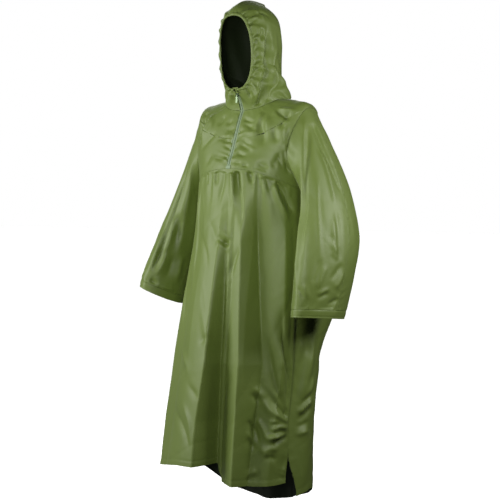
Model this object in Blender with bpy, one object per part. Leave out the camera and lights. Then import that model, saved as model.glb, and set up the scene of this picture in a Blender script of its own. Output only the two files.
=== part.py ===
"""A hooded rain poncho, worn and filled out, built from the pieces it is sewn from.

Metres, +Z up, front towards -Y, the wearer's left at +X. The origin is where the garment hangs
on its wearer: the middle of the shoulder line, at the base of the neck.

Every panel is a stretch of one of three surfaces: the body (closed rings from the neck to the hem),
the hood (curves from the face opening to the neck and the centre seam) and the sleeves (rings from
the armhole to the cuff). A panel becomes a wall by moving its points in by the cloth's thickness.
"""
import math
from collections import namedtuple

import bmesh
import bpy
import numpy as np
from mathutils import Matrix

# ---------------------------------------------------------------- driving dimensions
CLOTH = 0.0020           # thickness of every cloth wall
SEAM_GAP = 0.0004        # free gap between two panels at a seam
ZIP_GAP = 0.0055         # half the width left between the fronts, where the zip shows
ZIP_TAPE = 0.0120        # half the width of the zip with both its tapes
CUFF_BAND = 0.028        # height of the cuff bands
CASING = 0.009           # width of the elastic casing round the face opening
CASING_THICK = 0.0014

FACE_BOTTOM = 0.050
FACE_TOP = 0.276
FACE_HALF_WIDTH = 0.058
FACE_Y_BOTTOM = -0.118
FACE_Y_TOP = -0.133
HEAD_MIDDLE = np.array([0.0, -0.02, 0.15])
CROWN = (0.0, 0.040, 0.330)      # where the hood's centre seam passes over the back of the head
NAPE_SHARE = 0.47                # share of the half rim whose curves end at the neckline

ARMHOLE_TOP_ROW = 2.0
ARMHOLE_BOTTOM_ROW = 3.90
ARMHOLE_HALF_ANGLE = 34.0        # how far the armhole reaches in front of and behind the side
VENT_ROW = 8.45                  # the side seams are open below this row
SIDE_SEAM_ANGLE = 74.0           # where the side seams run, round from the centre front
GAP_ANGLE = 0.12                 # half a seam's gap as an angle round the body
GAP_ROW = 0.0036                 # half a seam's gap in rows

Section = namedtuple(
    "Section", "name z_front z_side z_back half_width front_depth back_depth shift_x shift_y square"
)
BODY = [
    Section("neck", -0.015, 0.022, 0.030, 0.100, 0.083, 0.104, 0, 0, 0.80),
    Section("mid shoulder", -0.060, 0.014, 0.000, 0.152, 0.104, 0.130, 0, 0, 0.84),
    Section("shoulder point", -0.105, -0.010, -0.060, 0.200, 0.122, 0.152, 0, 0, 0.86),
    Section("armhole", -0.152, -0.140, -0.150, 0.202, 0.140, 0.180, 0, 0, 0.86),
    Section("yoke seam", -0.200, -0.265, -0.260, 0.186, 0.158, 0.214, 0, 0, 0.86),
    Section("waist", -0.400, -0.420, -0.430, 0.190, 0.178, 0.240, 0, 0, 0.88),
    Section("cuff level", -0.620, -0.630, -0.640, 0.208, 0.198, 0.238, -0.010, 0, 0.88),
    Section("thigh", -0.800, -0.810, -0.840, 0.220, 0.212, 0.190, -0.022, 0, 0.90),
    Section("knee", -0.980, -0.990, -1.050, 0.229, 0.228, 0.146, -0.035, 0, 0.90),
    Section("hem", -1.152, -1.156, -1.280, 0.238, 0.240, 0.130, -0.044, 0, 0.90),
]
SHOULDER_END_ROW = 2.2           # above this row the body faces upwards as much as outwards
YOKE_ROW = 4.0
HEM_ROW = 9.0

Fold = namedtuple("Fold", "name angle_top angle_hem start_row depth_mid depth_hem half_angle")
FOLDS = [
    Fold("right side drop", -46, -42, 4.2, 0.014, 0.036, 32),
    Fold("front panel's edge", -8, -7, 4.6, 0.018, 0.046, 15),
    Fold("front valley", 5, 7, 5.0, -0.020, -0.050, 9),
    Fold("front ridge", 18, 24, 4.0, 0.018, 0.000, 10),
    Fold("left valley", 35, 38, 4.2, -0.034, -0.036, 12),
    Fold("left ridge", 58, 56, 4.4, 0.008, -0.008, 13),
    Fold("left side tuck", 80, 74, 5.4, -0.020, -0.016, 16),
    Fold("right side tuck", -84, -80, 5.4, -0.014, -0.020, 16),
    Fold("back fold a", 140, 146, 5.0, -0.022, -0.024, 15),
    Fold("back fold b", 178, 176, 5.4, -0.018, -0.026, 14),
    Fold("back fold c", -143, -146, 5.0, -0.022, -0.024, 15),
]

Swell = namedtuple("Swell", "name angle half_angle row half_rows height")
SWELLS = [
    Swell("spare width behind the left arm", 122, 34, 5.85, 1.05, 0.038),
    Swell("spare width behind the right arm", -124, 34, 5.70, 1.20, 0.024),
]

Gather = namedtuple("Gather", "angle reach_rows depth")
GATHERS = [
    Gather(-58, 0.50, 0.0045), Gather(-44, 0.70, 0.0055), Gather(-31, 0.45, 0.0045),
    Gather(-19, 0.80, 0.0050), Gather(-8, 0.50, 0.0045), Gather(9, 0.95, 0.0065),
    Gather(22, 0.55, 0.0050), Gather(33, 0.80, 0.0060), Gather(45, 0.50, 0.0045),
    Gather(57, 0.70, 0.0050),
]
GATHER_HALF_ANGLE = 6.0

SLEEVE_RIDGE = 1.12      # over 1, the sleeve's section has soft ridges along its seams and edges
Ring = namedtuple("Ring", "name x y z across depth tilt lean")
SLEEVE_LEFT = [
    Ring("upper arm", 0.225, 0.006, -0.205, 0.101, 0.100, 75, 0),
    Ring("above elbow", 0.262, 0.004, -0.305, 0.071, 0.122, 42, 0),
    Ring("elbow", 0.281, -0.016, -0.420, 0.074, 0.148, 14, -2),
    Ring("forearm", 0.284, -0.045, -0.530, 0.072, 0.143, 7, -4),
    Ring("above cuff", 0.278, -0.062, -0.620, 0.065, 0.131, 3, -5),
    Ring("cuff", 0.274, -0.068, -0.658, 0.062, 0.125, 1, -5),
]
SLEEVE_RIGHT = [
    Ring("upper arm", 0.213, 0.010, -0.200, 0.100, 0.092, 80, 0),
    Ring("above elbow", 0.244, -0.003, -0.290, 0.065, 0.095, 51, 0),
    Ring("elbow", 0.278, -0.023, -0.400, 0.063, 0.100, 28, -4),
    Ring("forearm", 0.302, -0.052, -0.500, 0.061, 0.105, 24, -8),
    Ring("above cuff", 0.316, -0.076, -0.570, 0.061, 0.102, 22, -12),
    Ring("cuff", 0.322, -0.086, -0.607, 0.061, 0.098, 22, -13),
]

# ---------------------------------------------------------------- colours
OLIVE = (0.18, 0.27, 0.07, 1)
ZIP_GREEN = (0.30, 0.40, 0.25, 1)
METAL = (0.35, 0.38, 0.30, 1)


# ---------------------------------------------------------------- small helpers
def smooth(t):
    """0 before 0, 1 after 1 and a smooth rise between."""
    t = min(1.0, max(0.0, t))
    return t * t * (3 - 2 * t)


def bump(offset, half_width):
    """A raised cosine: 1 in its middle, 0 from half_width on."""
    if abs(offset) >= half_width:
        return 0.0
    return 0.5 + 0.5 * math.cos(math.pi * offset / half_width)


def through(values, t):
    """The smooth curve through a row of values or points, read at place t."""
    last = len(values) - 1
    i = min(last - 1, max(0, int(math.floor(t))))
    f = t - i
    b, c = values[i], values[i + 1]
    a = values[i - 1] if i > 0 else 2 * b - c
    d = values[i + 2] if i + 2 <= last else 2 * c - b
    return b + 0.5 * f * (c - a + f * (2 * a - 5 * b + 4 * c - d + f * (3 * (b - c) + d - a)))


def signed_power(value, power):
    return math.copysign(abs(value) ** power, value)


# ---------------------------------------------------------------- the body's surface
COLUMNS = np.array([row[1:] for row in BODY], float)


def fold_height(angle, row):
    """How far the cloth stands out of its plain ring at a place: the long folds and the yoke's gathers."""
    total = 0.0
    for fold in FOLDS:
        if row <= fold.start_row:
            continue
        along = (row - fold.start_row) / (HEM_ROW - fold.start_row)
        middle = fold.angle_top + (fold.angle_hem - fold.angle_top) * along
        depth = fold.depth_mid * math.sin(math.pi * min(1.0, along)) + fold.depth_hem * along ** 1.5
        away = (angle - middle + 180) % 360 - 180
        total += depth * bump(away, fold.half_angle)
    for swell in SWELLS:
        away = (angle - swell.angle + 180) % 360 - 180
        total += swell.height * bump(away, swell.half_angle) * bump(row - swell.row, swell.half_rows)
    if YOKE_ROW < row:
        for gather in GATHERS:
            along = (row - YOKE_ROW) / gather.reach_rows
            if along < 1:
                rise = smooth(along * 5) * (1 - smooth(along))
                total -= gather.depth * rise * bump(angle - gather.angle, GATHER_HALF_ANGLE)
    return total


def body_point(angle, row):
    """A point of the body: angle is in degrees from the centre front towards the wearer's left."""
    z_front, z_side, z_back, half_width, front, back, shift_x, shift_y, square = through(COLUMNS, row)
    turn = math.radians(angle)
    s, c = math.sin(turn), math.cos(turn)
    out = fold_height(angle, row)
    x = signed_power(s, square) * half_width + s * out
    depth = front if c > 0 else back
    y = -signed_power(c, square) * depth - c * out
    z = z_side + ((z_front if c > 0 else z_back) - z_side) * abs(c) ** 1.6
    return np.array([x + shift_x, y + shift_y, z])


def neckline(angle):
    return body_point(angle, 0.0)


# ---------------------------------------------------------------- the hood's surface
def rim_point(share):
    """The face opening's edge on the wearer's left: share 0 is the chin and 1 the forehead."""
    turn = math.pi * share
    middle, half = (FACE_BOTTOM + FACE_TOP) / 2, (FACE_TOP - FACE_BOTTOM) / 2
    x = FACE_HALF_WIDTH * abs(math.sin(turn)) ** 0.72
    z = middle - half * signed_power(math.cos(turn), 0.86)
    up = (z - FACE_BOTTOM) / (FACE_TOP - FACE_BOTTOM)
    y = FACE_Y_BOTTOM + (FACE_Y_TOP - FACE_Y_BOTTOM) * up + 0.010 * math.sin(turn) ** 2
    return np.array([x, y, z])


CENTRE_SEAM = [
    np.array(p)
    for p in ((0, 0.104, 0.030), (0, 0.106, 0.110), (0, 0.114, 0.190), (0, 0.099, 0.268), CROWN)
]
GATHER_COUNT = 10        # gathers round half the face opening
GATHER_HEIGHT = 0.0036


HoodFold = namedtuple("HoodFold", "name along_low along_high share_low share_high depth half_width")
HOOD_FOLDS = [
    HoodFold("behind the cheek", 0.80, 0.42, 0.12, 0.78, -0.0100, 0.16),
    HoodFold("in front of the ear", 0.46, 0.24, 0.10, 0.66, -0.0040, 0.10),
    HoodFold("ridge over the ear", 0.96, 0.64, 0.24, 0.84, 0.0050, 0.18),
]


def hood_fold_height(share, along):
    """How far the hood stands out of its plain shape: long folds from the neck up over the head."""
    total = 0.0
    for fold in HOOD_FOLDS:
        t = (share - fold.share_low) / (fold.share_high - fold.share_low)
        if 0 < t < 1:
            middle = fold.along_low + (fold.along_high - fold.along_low) * t
            total += fold.depth * math.sin(math.pi * t) ** 0.7 * bump(along - middle, fold.half_width)
    return total * smooth((1 - along) * 7)


def hood_ends(share):
    """Both ends of the hood's curve that starts at this share of the rim, with the directions there."""
    start = rim_point(share)
    if share <= NAPE_SHARE:
        t = share / NAPE_SHARE
        end = neckline(180 * t)
        outward = np.array([math.sin(math.pi * t), -0.6 * math.cos(math.pi * t), 0])
        leave = np.array([0.02 + 0.10 * t, 0.02 + 0.05 * t, -0.045 * (1 - t)])
        arrive = np.array([0, 0, -0.07]) - 0.02 * (1 - t) * outward
        wrap = smooth((t - 0.45) / 0.55)
        arrive = (1 - wrap) * arrive + wrap * np.array([-0.29, 0.00, -0.02])
        leave = (1 - wrap) * leave + wrap * np.array([0.19, 0.10, 0.0])
    else:
        t = (share - NAPE_SHARE) / (1 - NAPE_SHARE)
        end = through(CENTRE_SEAM, t * (len(CENTRE_SEAM) - 1))
        side = math.cos(0.5 * math.pi * t ** 3.6)
        arrive = np.array([-0.29 * side, 0.15 * (1 - side), -0.02])
        leave = np.array([0.19 * side, 0.10 - 0.04 * t ** 3, 0.21 * t ** 1.6])
    return start, end, leave, arrive


def hood_point(share, along):
    """A point of the hood: along is 0 at the rim and 1 at the neckline or the centre seam."""
    start, end, leave, arrive = hood_ends(share)
    f = along
    point = (
        (2 * f ** 3 - 3 * f ** 2 + 1) * start
        + (f ** 3 - 2 * f ** 2 + f) * leave
        + (3 * f ** 2 - 2 * f ** 3) * end
        + (f ** 3 - f ** 2) * arrive
    )
    away = point - HEAD_MIDDLE
    away /= np.linalg.norm(away)
    ripple = math.cos(2 * math.pi * GATHER_COUNT * share) * smooth(f * 12) * (1 - smooth(f / 0.42))
    gathers = GATHER_HEIGHT * ripple * smooth(share * 9) * smooth((1 - share) * 9)
    return point + away * (gathers + hood_fold_height(share, along))


# ---------------------------------------------------------------- the sleeves' surface
def armhole_edge(turn, side, wider=0.0):
    """The body's angle and row at a place on the armhole: turn 0 is its top, 180 the underarm.
    side is 1 in front of the side line and -1 behind it; wider opens the hole by that many seam gaps."""
    middle = (ARMHOLE_TOP_ROW + ARMHOLE_BOTTOM_ROW) / 2
    half = (ARMHOLE_BOTTOM_ROW - ARMHOLE_TOP_ROW) / 2 + wider * GAP_ROW
    row = middle - half * math.cos(math.radians(turn))
    reach = ARMHOLE_HALF_ANGLE + wider * GAP_ANGLE
    return 90 - side * reach * math.sin(math.radians(turn)), row


def ring_point(ring, turn):
    """A point of a sleeve's ring: turn 0 is its outer side, 90 its front and 180 its inner side."""
    tilt, w = math.radians(ring.tilt), math.radians(turn)
    out = np.array([math.cos(tilt), 0, math.sin(tilt)])
    lean = math.radians(ring.lean)
    front = np.array([0, -math.cos(lean), -math.sin(lean)])
    return (
        np.array([ring.x, ring.y, ring.z])
        + out * ring.across * signed_power(math.cos(w), SLEEVE_RIDGE)
        + front * ring.depth * signed_power(math.sin(w), SLEEVE_RIDGE)
    )


def sleeve_point(rings, turn, along):
    """A point of a left sleeve: along is 0 at the armhole and counts one for each ring."""
    side = 1 if turn <= 180 else -1
    angle, row = armhole_edge(turn if turn <= 180 else 360 - turn, side)
    ends = [body_point(angle, row)] + [ring_point(ring, turn) for ring in rings]
    return through(ends, along)


# ---------------------------------------------------------------- places with their normals
def facing(surface, a, b, step_a, step_b, outward):
    """The normal of a surface at a place, from its neighbours, on the side that outward points to."""
    across = surface(a + step_a, b) - surface(a - step_a, b)
    down = surface(a, b + step_b) - surface(a, b - step_b)
    n = np.cross(down, across)
    n /= np.linalg.norm(n)
    return n if n @ outward > 0 else -n


def body_normal(angle, row):
    turn = math.radians(angle)
    outward = np.array([math.sin(turn), -math.cos(turn), 0.9 if row < SHOULDER_END_ROW else 0.0])
    return facing(body_point, angle, max(row, 0.01), 0.6, 0.01, outward)


def sleeve_normal(rings, turn, along):
    def point(t, f):
        return sleeve_point(rings, t % 360, f)

    middle = sum(point(t, along) for t in (0, 90, 180, 270)) / 4
    return facing(point, turn, max(along, 0.02), 2.0, 0.02, point(turn, along) - middle)


def hood_normal(share, along):
    share, along = min(0.992, max(0.008, share)), min(0.985, max(0.015, along))
    outward = hood_point(share, along) - HEAD_MIDDLE
    return facing(hood_point, share, along, 0.006, 0.012, outward)


def mitre(first, second):
    """The direction shared by two walls that meet at a seam."""
    n = first + second
    return n / np.linalg.norm(n)


def armhole_normal(rings, turn):
    side = 1 if turn <= 180 else -1
    angle, row = armhole_edge(turn if turn <= 180 else 360 - turn, side)
    return mitre(body_normal(angle, row), sleeve_normal(rings, turn, 0.02))


# ---------------------------------------------------------------- walls
def material(colour):
    """The Principled material of a colour, made once."""
    name = "finish_%02d_%02d_%02d" % tuple(round(99 * x) for x in colour[:3])
    made = bpy.data.materials.get(name)
    if made:
        return made
    made = bpy.data.materials.new(name)
    made.use_nodes = True
    shader = made.node_tree.nodes["Principled BSDF"]
    shader.inputs["Base Color"].default_value = colour
    shader.inputs["Roughness"].default_value = 0.42
    shader.inputs["Metallic"].default_value = 0.9 if colour == METAL else 0.0
    return made


def add_object(name, points, faces, colour):
    mesh = bpy.data.meshes.new(name)
    mesh.from_pydata([tuple(map(float, p)) for p in points], [], faces)
    mesh.shade_smooth()
    mesh.set_sharp_from_angle(angle=math.radians(50))
    mesh.materials.append(material(colour))
    obj = bpy.data.objects.new(name, mesh)
    bpy.context.scene.collection.objects.link(obj)
    return obj


def wall(name, grid, colour, mirror=False, thickness=CLOTH, closed=False):
    """A cloth wall over a grid of (outer point, outward normal): outer face, inner face and rims."""
    flip = np.array([-1.0, 1.0, 1.0]) if mirror else np.ones(3)
    outer = [[p * flip for p, n in line] for line in grid]
    inner = [[(p - n * thickness) * flip for p, n in line] for line in grid]
    rows, columns = len(grid), len(grid[0])
    r, c = (rows - 1) // 2, columns // 3
    turn = np.cross(outer[r + 1][c] - outer[r][c], outer[r][c + 1] - outer[r][c])
    if turn @ (outer[r][c] - inner[r][c]) < 0:
        outer = [line[::-1] for line in outer]
        inner = [line[::-1] for line in inner]
    points = [p for line in outer + inner for p in line]
    back = rows * columns
    spans = columns if closed else columns - 1
    faces = []
    for r in range(rows - 1):
        for c in range(spans):
            a, b = r * columns + c, r * columns + (c + 1) % columns
            faces.append((a, a + columns, b + columns, b))
            faces.append((back + a, back + b, back + b + columns, back + a + columns))
    low = (rows - 1) * columns
    for c in range(spans):
        a, b = c, (c + 1) % columns
        faces.append((a, b, back + b, back + a))
        faces.append((low + b, low + a, back + low + a, back + low + b))
    if not closed:
        for r in range(rows - 1):
            a, b = r * columns, r * columns + columns - 1
            faces.append((a + columns, a, back + a, back + a + columns))
            faces.append((b, b + columns, back + b + columns, back + b))
    return add_object(name, points, faces, colour)


def spread(first, last, count):
    return [first + (last - first) * i / (count - 1) for i in range(count)]


# ---------------------------------------------------------------- yoke, skirt and back
SHOULDER_ROWS = [0.006, 0.5, 1.0, 1.5]
ARMHOLE_TURNS = [0, 20, 40, 60, 80, 100, 120, 140, 160, 180]
YOKE_COLUMNS = 12


def side_places(side):
    """The rows from the neck to the underarm, each with the angle and armhole turn where it ends."""
    places = [(row, 90 - side * GAP_ANGLE, None) for row in SHOULDER_ROWS]
    for turn in ARMHOLE_TURNS:
        angle, row = armhole_edge(turn, side, 1.0)
        angle = min(angle, 90 - GAP_ANGLE) if side > 0 else max(angle, 90 + GAP_ANGLE)
        places.append((row, angle, turn if side > 0 else 360 - turn))
    return places


def body_place(angle, row, turn=None):
    """An outer point of the body with its normal; turn names the place on the armhole, if it is on it."""
    normal = body_normal(angle, row)
    if turn is not None:
        rings = SLEEVE_LEFT if angle % 360 < 180 else SLEEVE_RIGHT
        flip = np.array([1.0, 1.0, 1.0]) if rings is SLEEVE_LEFT else np.array([-1.0, 1.0, 1.0])
        normal = armhole_normal(rings, turn) * flip
    return body_point(angle, row), normal


def build_yoke(name, sign):
    """Half the front yoke: from the zip to the shoulder seam and the armhole."""
    grid = []
    foot = [(row, 90 - GAP_ANGLE, None) for row in (YOKE_ROW - 0.05, YOKE_ROW - GAP_ROW)]
    for row, end, turn in side_places(1) + foot:
        line = []
        for share in spread(0, 1, YOKE_COLUMNS):
            edge = turn if share == 1 else None
            point, normal = body_place(sign * end * share, row, edge)
            if share == 0:
                point[0] = sign * ZIP_GAP
                normal[0] = 0.0
            line.append((point, normal))
        grid.append(line)
    wall(name, grid, OLIVE)


def seam_angle(row):
    """Where the side seam runs: from the underarm it drifts forward as it goes down."""
    return 90 + (SIDE_SEAM_ANGLE - 90) * smooth((row - YOKE_ROW) / 4)


def vent(row):
    """How many degrees the open foot of a side seam has spread."""
    return 7.0 * smooth((row - VENT_ROW) / (HEM_ROW - VENT_ROW))


# The front's hem: it is drawn up at the panel's edge and hangs lower from the ridge to the left.
FRONT_HEM_FROM = 8.2
FRONT_HEM = [(-60, 9.0), (-36, 8.91), (-10, 8.80), (6.6, 8.78), (13, 9.10), (24, 9.14), (38, 9.16), (60, 9.14),
             (80, 9.10)]


def front_hem(angle, row):
    """The row that a row of the front's grid has at this angle, where the hem isn't level."""
    end = np.interp(angle, *zip(*FRONT_HEM))
    low = max(0.0, row - FRONT_HEM_FROM)
    return row - low + low * (end - FRONT_HEM_FROM) / (HEM_ROW - FRONT_HEM_FROM)


SKIRT_ROWS = [4.0012, 4.10, 4.22, 4.36, 4.54, 4.80, 5.2, 5.7, 6.2, 6.7, 7.2, 7.7, 8.2, 8.6, 9.0]
SKIRT_COLUMNS = 49
BACK_ROWS = [4.02, 4.35, 4.8, 5.25, 5.7, 6.15, 6.6, 7.1, 7.6, 8.1, 8.55, 9.0]
BACK_COLUMNS = 33
TAIL_ROW = 8.3           # below this row the back's hem runs on past the front's
LEFT_DROP = 0.55         # by this share more at the wearer's left side
RIGHT_DROP = 0.02        # and at the right side, where the tail has ridden up


def build_skirt():
    grid = []
    for row in SKIRT_ROWS:
        end = seam_angle(row) - GAP_ANGLE - 0.45 * vent(row)
        grid.append([body_place(end * share, front_hem(end * share, row))
                     for share in spread(-1, 1, SKIRT_COLUMNS)])
    wall("skirt_front", grid, OLIVE)


def build_back():
    """The whole back, from the neck and shoulder seams past the armholes to the long hem."""
    grid = []
    for row, end, turn in side_places(-1):
        line = []
        for share in spread(0, 1, BACK_COLUMNS):
            edge = turn if share in (0, 1) else None
            line.append(body_place(end + (360 - 2 * end) * share, row, edge))
        grid.append(line)
    for row in BACK_ROWS:
        end = seam_angle(row) + GAP_ANGLE + vent(row)
        line = []
        for share in spread(0, 1, BACK_COLUMNS):
            drop = LEFT_DROP if share < 0.5 else RIGHT_DROP
            longer = 1 + drop * (2 * share - 1) ** 2 if row > TAIL_ROW else 1
            line.append(body_place(end + (360 - 2 * end) * share, TAIL_ROW + (row - TAIL_ROW) * longer))
        grid.append(line)
    wall("back", grid, OLIVE)


# ---------------------------------------------------------------- hood
HOOD_COLUMNS = 41
HOOD_ALONG = [0.06, 0.14, 0.24, 0.36, 0.50, 0.65, 0.79, 0.91, 1.0]
ZIP_FROM = 1             # the zip begins at this one of the places along the hood's front edge


def casing_end(share):
    """How far along the hood the casing reaches at this share of the rim."""
    start, end = hood_point(share, 0), hood_point(share, 1)
    return CASING / np.linalg.norm(end - start)


def hood_place(share, along):
    """An outer point of the left half hood with its normal, kept clear of the zip and the centre seam."""
    point, normal = hood_point(share, along), hood_normal(share, along)
    keep = ZIP_GAP if share == 0 else SEAM_GAP / 2
    if share in (0, 1) or (along == 1 and share >= NAPE_SHARE):
        normal[0] = 0.0
        normal /= np.linalg.norm(normal)
    if along == 1 and share < NAPE_SHARE:
        point = point + np.array([0, 0, SEAM_GAP])
    point[0] = max(point[0], keep)
    if (point - normal * CLOTH)[0] < keep:
        normal[0] = (point[0] - keep) / CLOTH
    return point, normal


def build_hood(name, mirror):
    shares = spread(0, 1, HOOD_COLUMNS)
    grid = [[hood_place(share, edge * casing_end(share)) for share in shares] for edge in (0, 1)]
    for along in HOOD_ALONG:
        line = []
        for share in shares:
            first = casing_end(share)
            line.append(hood_place(share, first + (1 - first) * along))
        grid.append(line)
    wall(name, grid, OLIVE, mirror)


def build_casing():
    """The elastic casing: one band round the whole face opening, on the hood's outer face."""
    shares = spread(0, 1, HOOD_COLUMNS)
    flip = np.array([-1.0, 1.0, 1.0])
    grid = []
    for edge in (0, 1):
        half = []
        for share in shares:
            point, normal = hood_place(share, edge * casing_end(share))
            if share == 1:
                point[0] = 0.0
                normal[0] = 0.0
            half.append((point + normal * (SEAM_GAP + CASING_THICK), normal))
        grid.append(half + [(p * flip, n * flip) for p, n in half[-2::-1]])
    wall("face_casing", grid, OLIVE, thickness=CASING_THICK)


# ---------------------------------------------------------------- sleeves and cuffs
SLEEVE_ALONG = [0.14, 0.5, 0.8, 1.15, 1.55, 2.0, 2.5, 3.0, 3.5, 4.0, 4.5]
SEAM_TURN = 0.2          # half a lengthwise seam's gap, in degrees round a sleeve
SLEEVE_START = 0.0018    # how far from the armhole's line a sleeve's edge stands


def band_start(rings):
    """Where the cuff band begins, in rings along the sleeve."""
    last, before = rings[-1], rings[-2]
    long = math.dist(last[1:4], before[1:4])
    return len(rings) - CUFF_BAND / long


def sleeve_place(rings, turn, along):
    """An outer point of a sleeve with its normal; along None is the armhole seam."""
    if along is None:
        start, on = sleeve_point(rings, turn, 0.0), sleeve_point(rings, turn, 0.02)
        step = 0.02 * SLEEVE_START / np.linalg.norm(on - start)
        return sleeve_point(rings, turn, step), armhole_normal(rings, turn)
    return sleeve_point(rings, turn, along), sleeve_normal(rings, turn, along)


def build_sleeve(name, rings, mirror):
    end = band_start(rings) - 0.01
    front = [SEAM_TURN] + ARMHOLE_TURNS[1:-1] + [180 - SEAM_TURN]
    for part, turns in (("front", front), ("back", [360 - t for t in front])):
        grid = [
            [sleeve_place(rings, turn, along) for turn in turns]
            for along in [None] + SLEEVE_ALONG + [end]
        ]
        wall(f"{name}_{part}", grid, OLIVE, mirror)


def build_cuff(name, rings, mirror):
    turns = ARMHOLE_TURNS + [360 - t for t in ARMHOLE_TURNS[-2:0:-1]]
    grid = [
        [sleeve_place(rings, turn, along) for turn in turns]
        for along in spread(band_start(rings), len(rings), 3)
    ]
    wall(name, grid, OLIVE, mirror, closed=True)


# ---------------------------------------------------------------- zip
TAPE_THICK = 0.0010
TAPE_BELOW = 0.0009      # free gap between the cloth's inner face and the tapes
TAPE_APART = 0.0002      # half the gap between the two tapes, under the coil
COIL_ABOVE = 0.0003      # free gap between the tapes and the coil
COIL_HALF = 0.0024
COIL_HIGH = 0.0012
SLIDER_ALONG = 0.24      # where the slider stands, along the hood's front edge
SLIDER = (0.0086, 0.0110, 0.0026)        # width, length and height of its block
SLIDER_SUNK = 0.0008     # how far the block sits below the cloth's face, between the fronts
OVERLAP = 0.0003         # by which shapes that are joined into one piece overlap
LUG = (0.0016, 0.0042, 0.0052)           # each of the two lugs that hold the pin
PIN_RADIUS = 0.0009
PIN_HIGH = 0.0050        # the pin's axis above the cloth's face
EYE_RADIUS = 0.0022      # the pull's eye, and the hole in it with its running clearance
EYE_HOLE = 0.0013
PULL = (0.0040, 0.0062, 0.0220, 0.0014)  # eye width, tab width, length and thickness


def zip_line():
    """The zip's middle with its normals: from the chin over the neck seam down to the yoke seam."""
    places = [casing_end(0) + (1 - casing_end(0)) * a for a in HOOD_ALONG[ZIP_FROM:-1]]
    line = [(hood_point(0, a), hood_normal(0, a)) for a in places]
    neck = mitre(hood_normal(0, 1), body_normal(0, 0.1))
    line.append((body_point(0, 0), neck * 1.25))
    rows = SHOULDER_ROWS[1:] + [armhole_edge(turn, 1, 1.0)[1] for turn in ARMHOLE_TURNS[1:]]
    line += [(body_point(0, row), body_normal(0, row)) for row in rows]
    return [(p * (0, 1, 1), n * (0, 1, 1)) for p, n in line]


def zip_strip(name, depth, left, right, thickness, colour):
    """A strip along the zip, between two distances from the middle and a depth below the cloth's face."""
    grid = []
    for point, normal in zip_line():
        face = point - normal * depth
        grid.append([(face + np.array([x, 0, 0]), normal) for x in spread(left, right, 3)])
    wall(name, grid, colour, thickness=thickness)


def build_zip():
    tape_depth = CLOTH + TAPE_BELOW
    zip_strip("zip_tape_left", tape_depth, TAPE_APART, ZIP_TAPE, TAPE_THICK, ZIP_GREEN)
    zip_strip("zip_tape_right", tape_depth, -ZIP_TAPE, -TAPE_APART, TAPE_THICK, ZIP_GREEN)
    coil_depth = tape_depth - COIL_ABOVE - COIL_HIGH
    zip_strip("zip_coil", coil_depth, -COIL_HALF, COIL_HALF, COIL_HIGH, ZIP_GREEN)


# ---------------------------------------------------------------- slider and pull tab
def standing(origin, down, out):
    """The matrix of a frame with X across, Y along down and Z along out."""
    frame = Matrix.Identity(4)
    for column, axis in enumerate((np.cross(down, out), down, out, origin)):
        for k in range(3):
            frame[k][column] = float(axis[k])
    return frame


def add_shape(name, shape, centre, frame):
    """Makes an object of a bmesh, moved to its centre in a frame that the object keeps as its own."""
    bmesh.ops.translate(shape, vec=centre, verts=shape.verts)
    mesh = bpy.data.meshes.new(name)
    shape.to_mesh(mesh)
    shape.free()
    mesh.materials.append(material(METAL))
    obj = bpy.data.objects.new(name, mesh)
    obj.matrix_world = frame
    bpy.context.scene.collection.objects.link(obj)
    return obj


def box(name, size, centre, frame):
    shape = bmesh.new()
    bmesh.ops.create_cube(shape, size=1.0)
    bmesh.ops.scale(shape, vec=size, verts=shape.verts)
    return add_shape(name, shape, centre, frame)


def rod(name, radius, length, centre, frame):
    """A cylinder that lies across, along the frame's X."""
    shape = bmesh.new()
    bmesh.ops.create_cone(shape, cap_ends=True, segments=20, radius1=radius, radius2=radius, depth=length)
    bmesh.ops.rotate(shape, matrix=Matrix.Rotation(math.pi / 2, 3, "Y"), verts=shape.verts)
    return add_shape(name, shape, centre, frame)


def combine(target, others, operation):
    """Joins the others to the target, or cuts them from it, and removes them."""
    for other in others:
        step = target.modifiers.new(operation.lower(), "BOOLEAN")
        step.operation, step.solver, step.object = operation, "EXACT", other
    result = target.evaluated_get(bpy.context.evaluated_depsgraph_get())
    made = bpy.data.meshes.new_from_object(result)
    target.modifiers.clear()
    target.data = made
    for other in others:
        bpy.data.objects.remove(other)


def slider_place():
    """A point on the cloth's face where the slider stands, with the directions down the zip and out."""
    first = casing_end(0)
    along = first + (1 - first) * SLIDER_ALONG
    out = mitre(hood_normal(0, along) * (0, 1, 1), 0)
    down = np.cross(out, [1.0, 0, 0])
    return hood_point(0, along) * (0, 1, 1), down if down[2] < 0 else -down, out


def build_slider():
    """The zip's slider: a block with two lugs that hold the pin of the pull."""
    face, down, out = slider_place()
    frame = standing(face, down, out)
    width, length, height = SLIDER
    foot = -SLIDER_SUNK
    block = box("zip_slider", SLIDER, (0, 0, foot + height / 2), frame)
    lug_width, lug_length, lug_height = LUG
    lug_at = (width - lug_width) / 2
    middle = foot + height + lug_height / 2 - OVERLAP
    parts = [box("lug", LUG, (side * lug_at, 0, middle), frame) for side in (1, -1)]
    parts.append(rod("pin", PIN_RADIUS, 2 * lug_at, (0, 0, PIN_HIGH), frame))
    combine(block, parts, "UNION")


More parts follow.
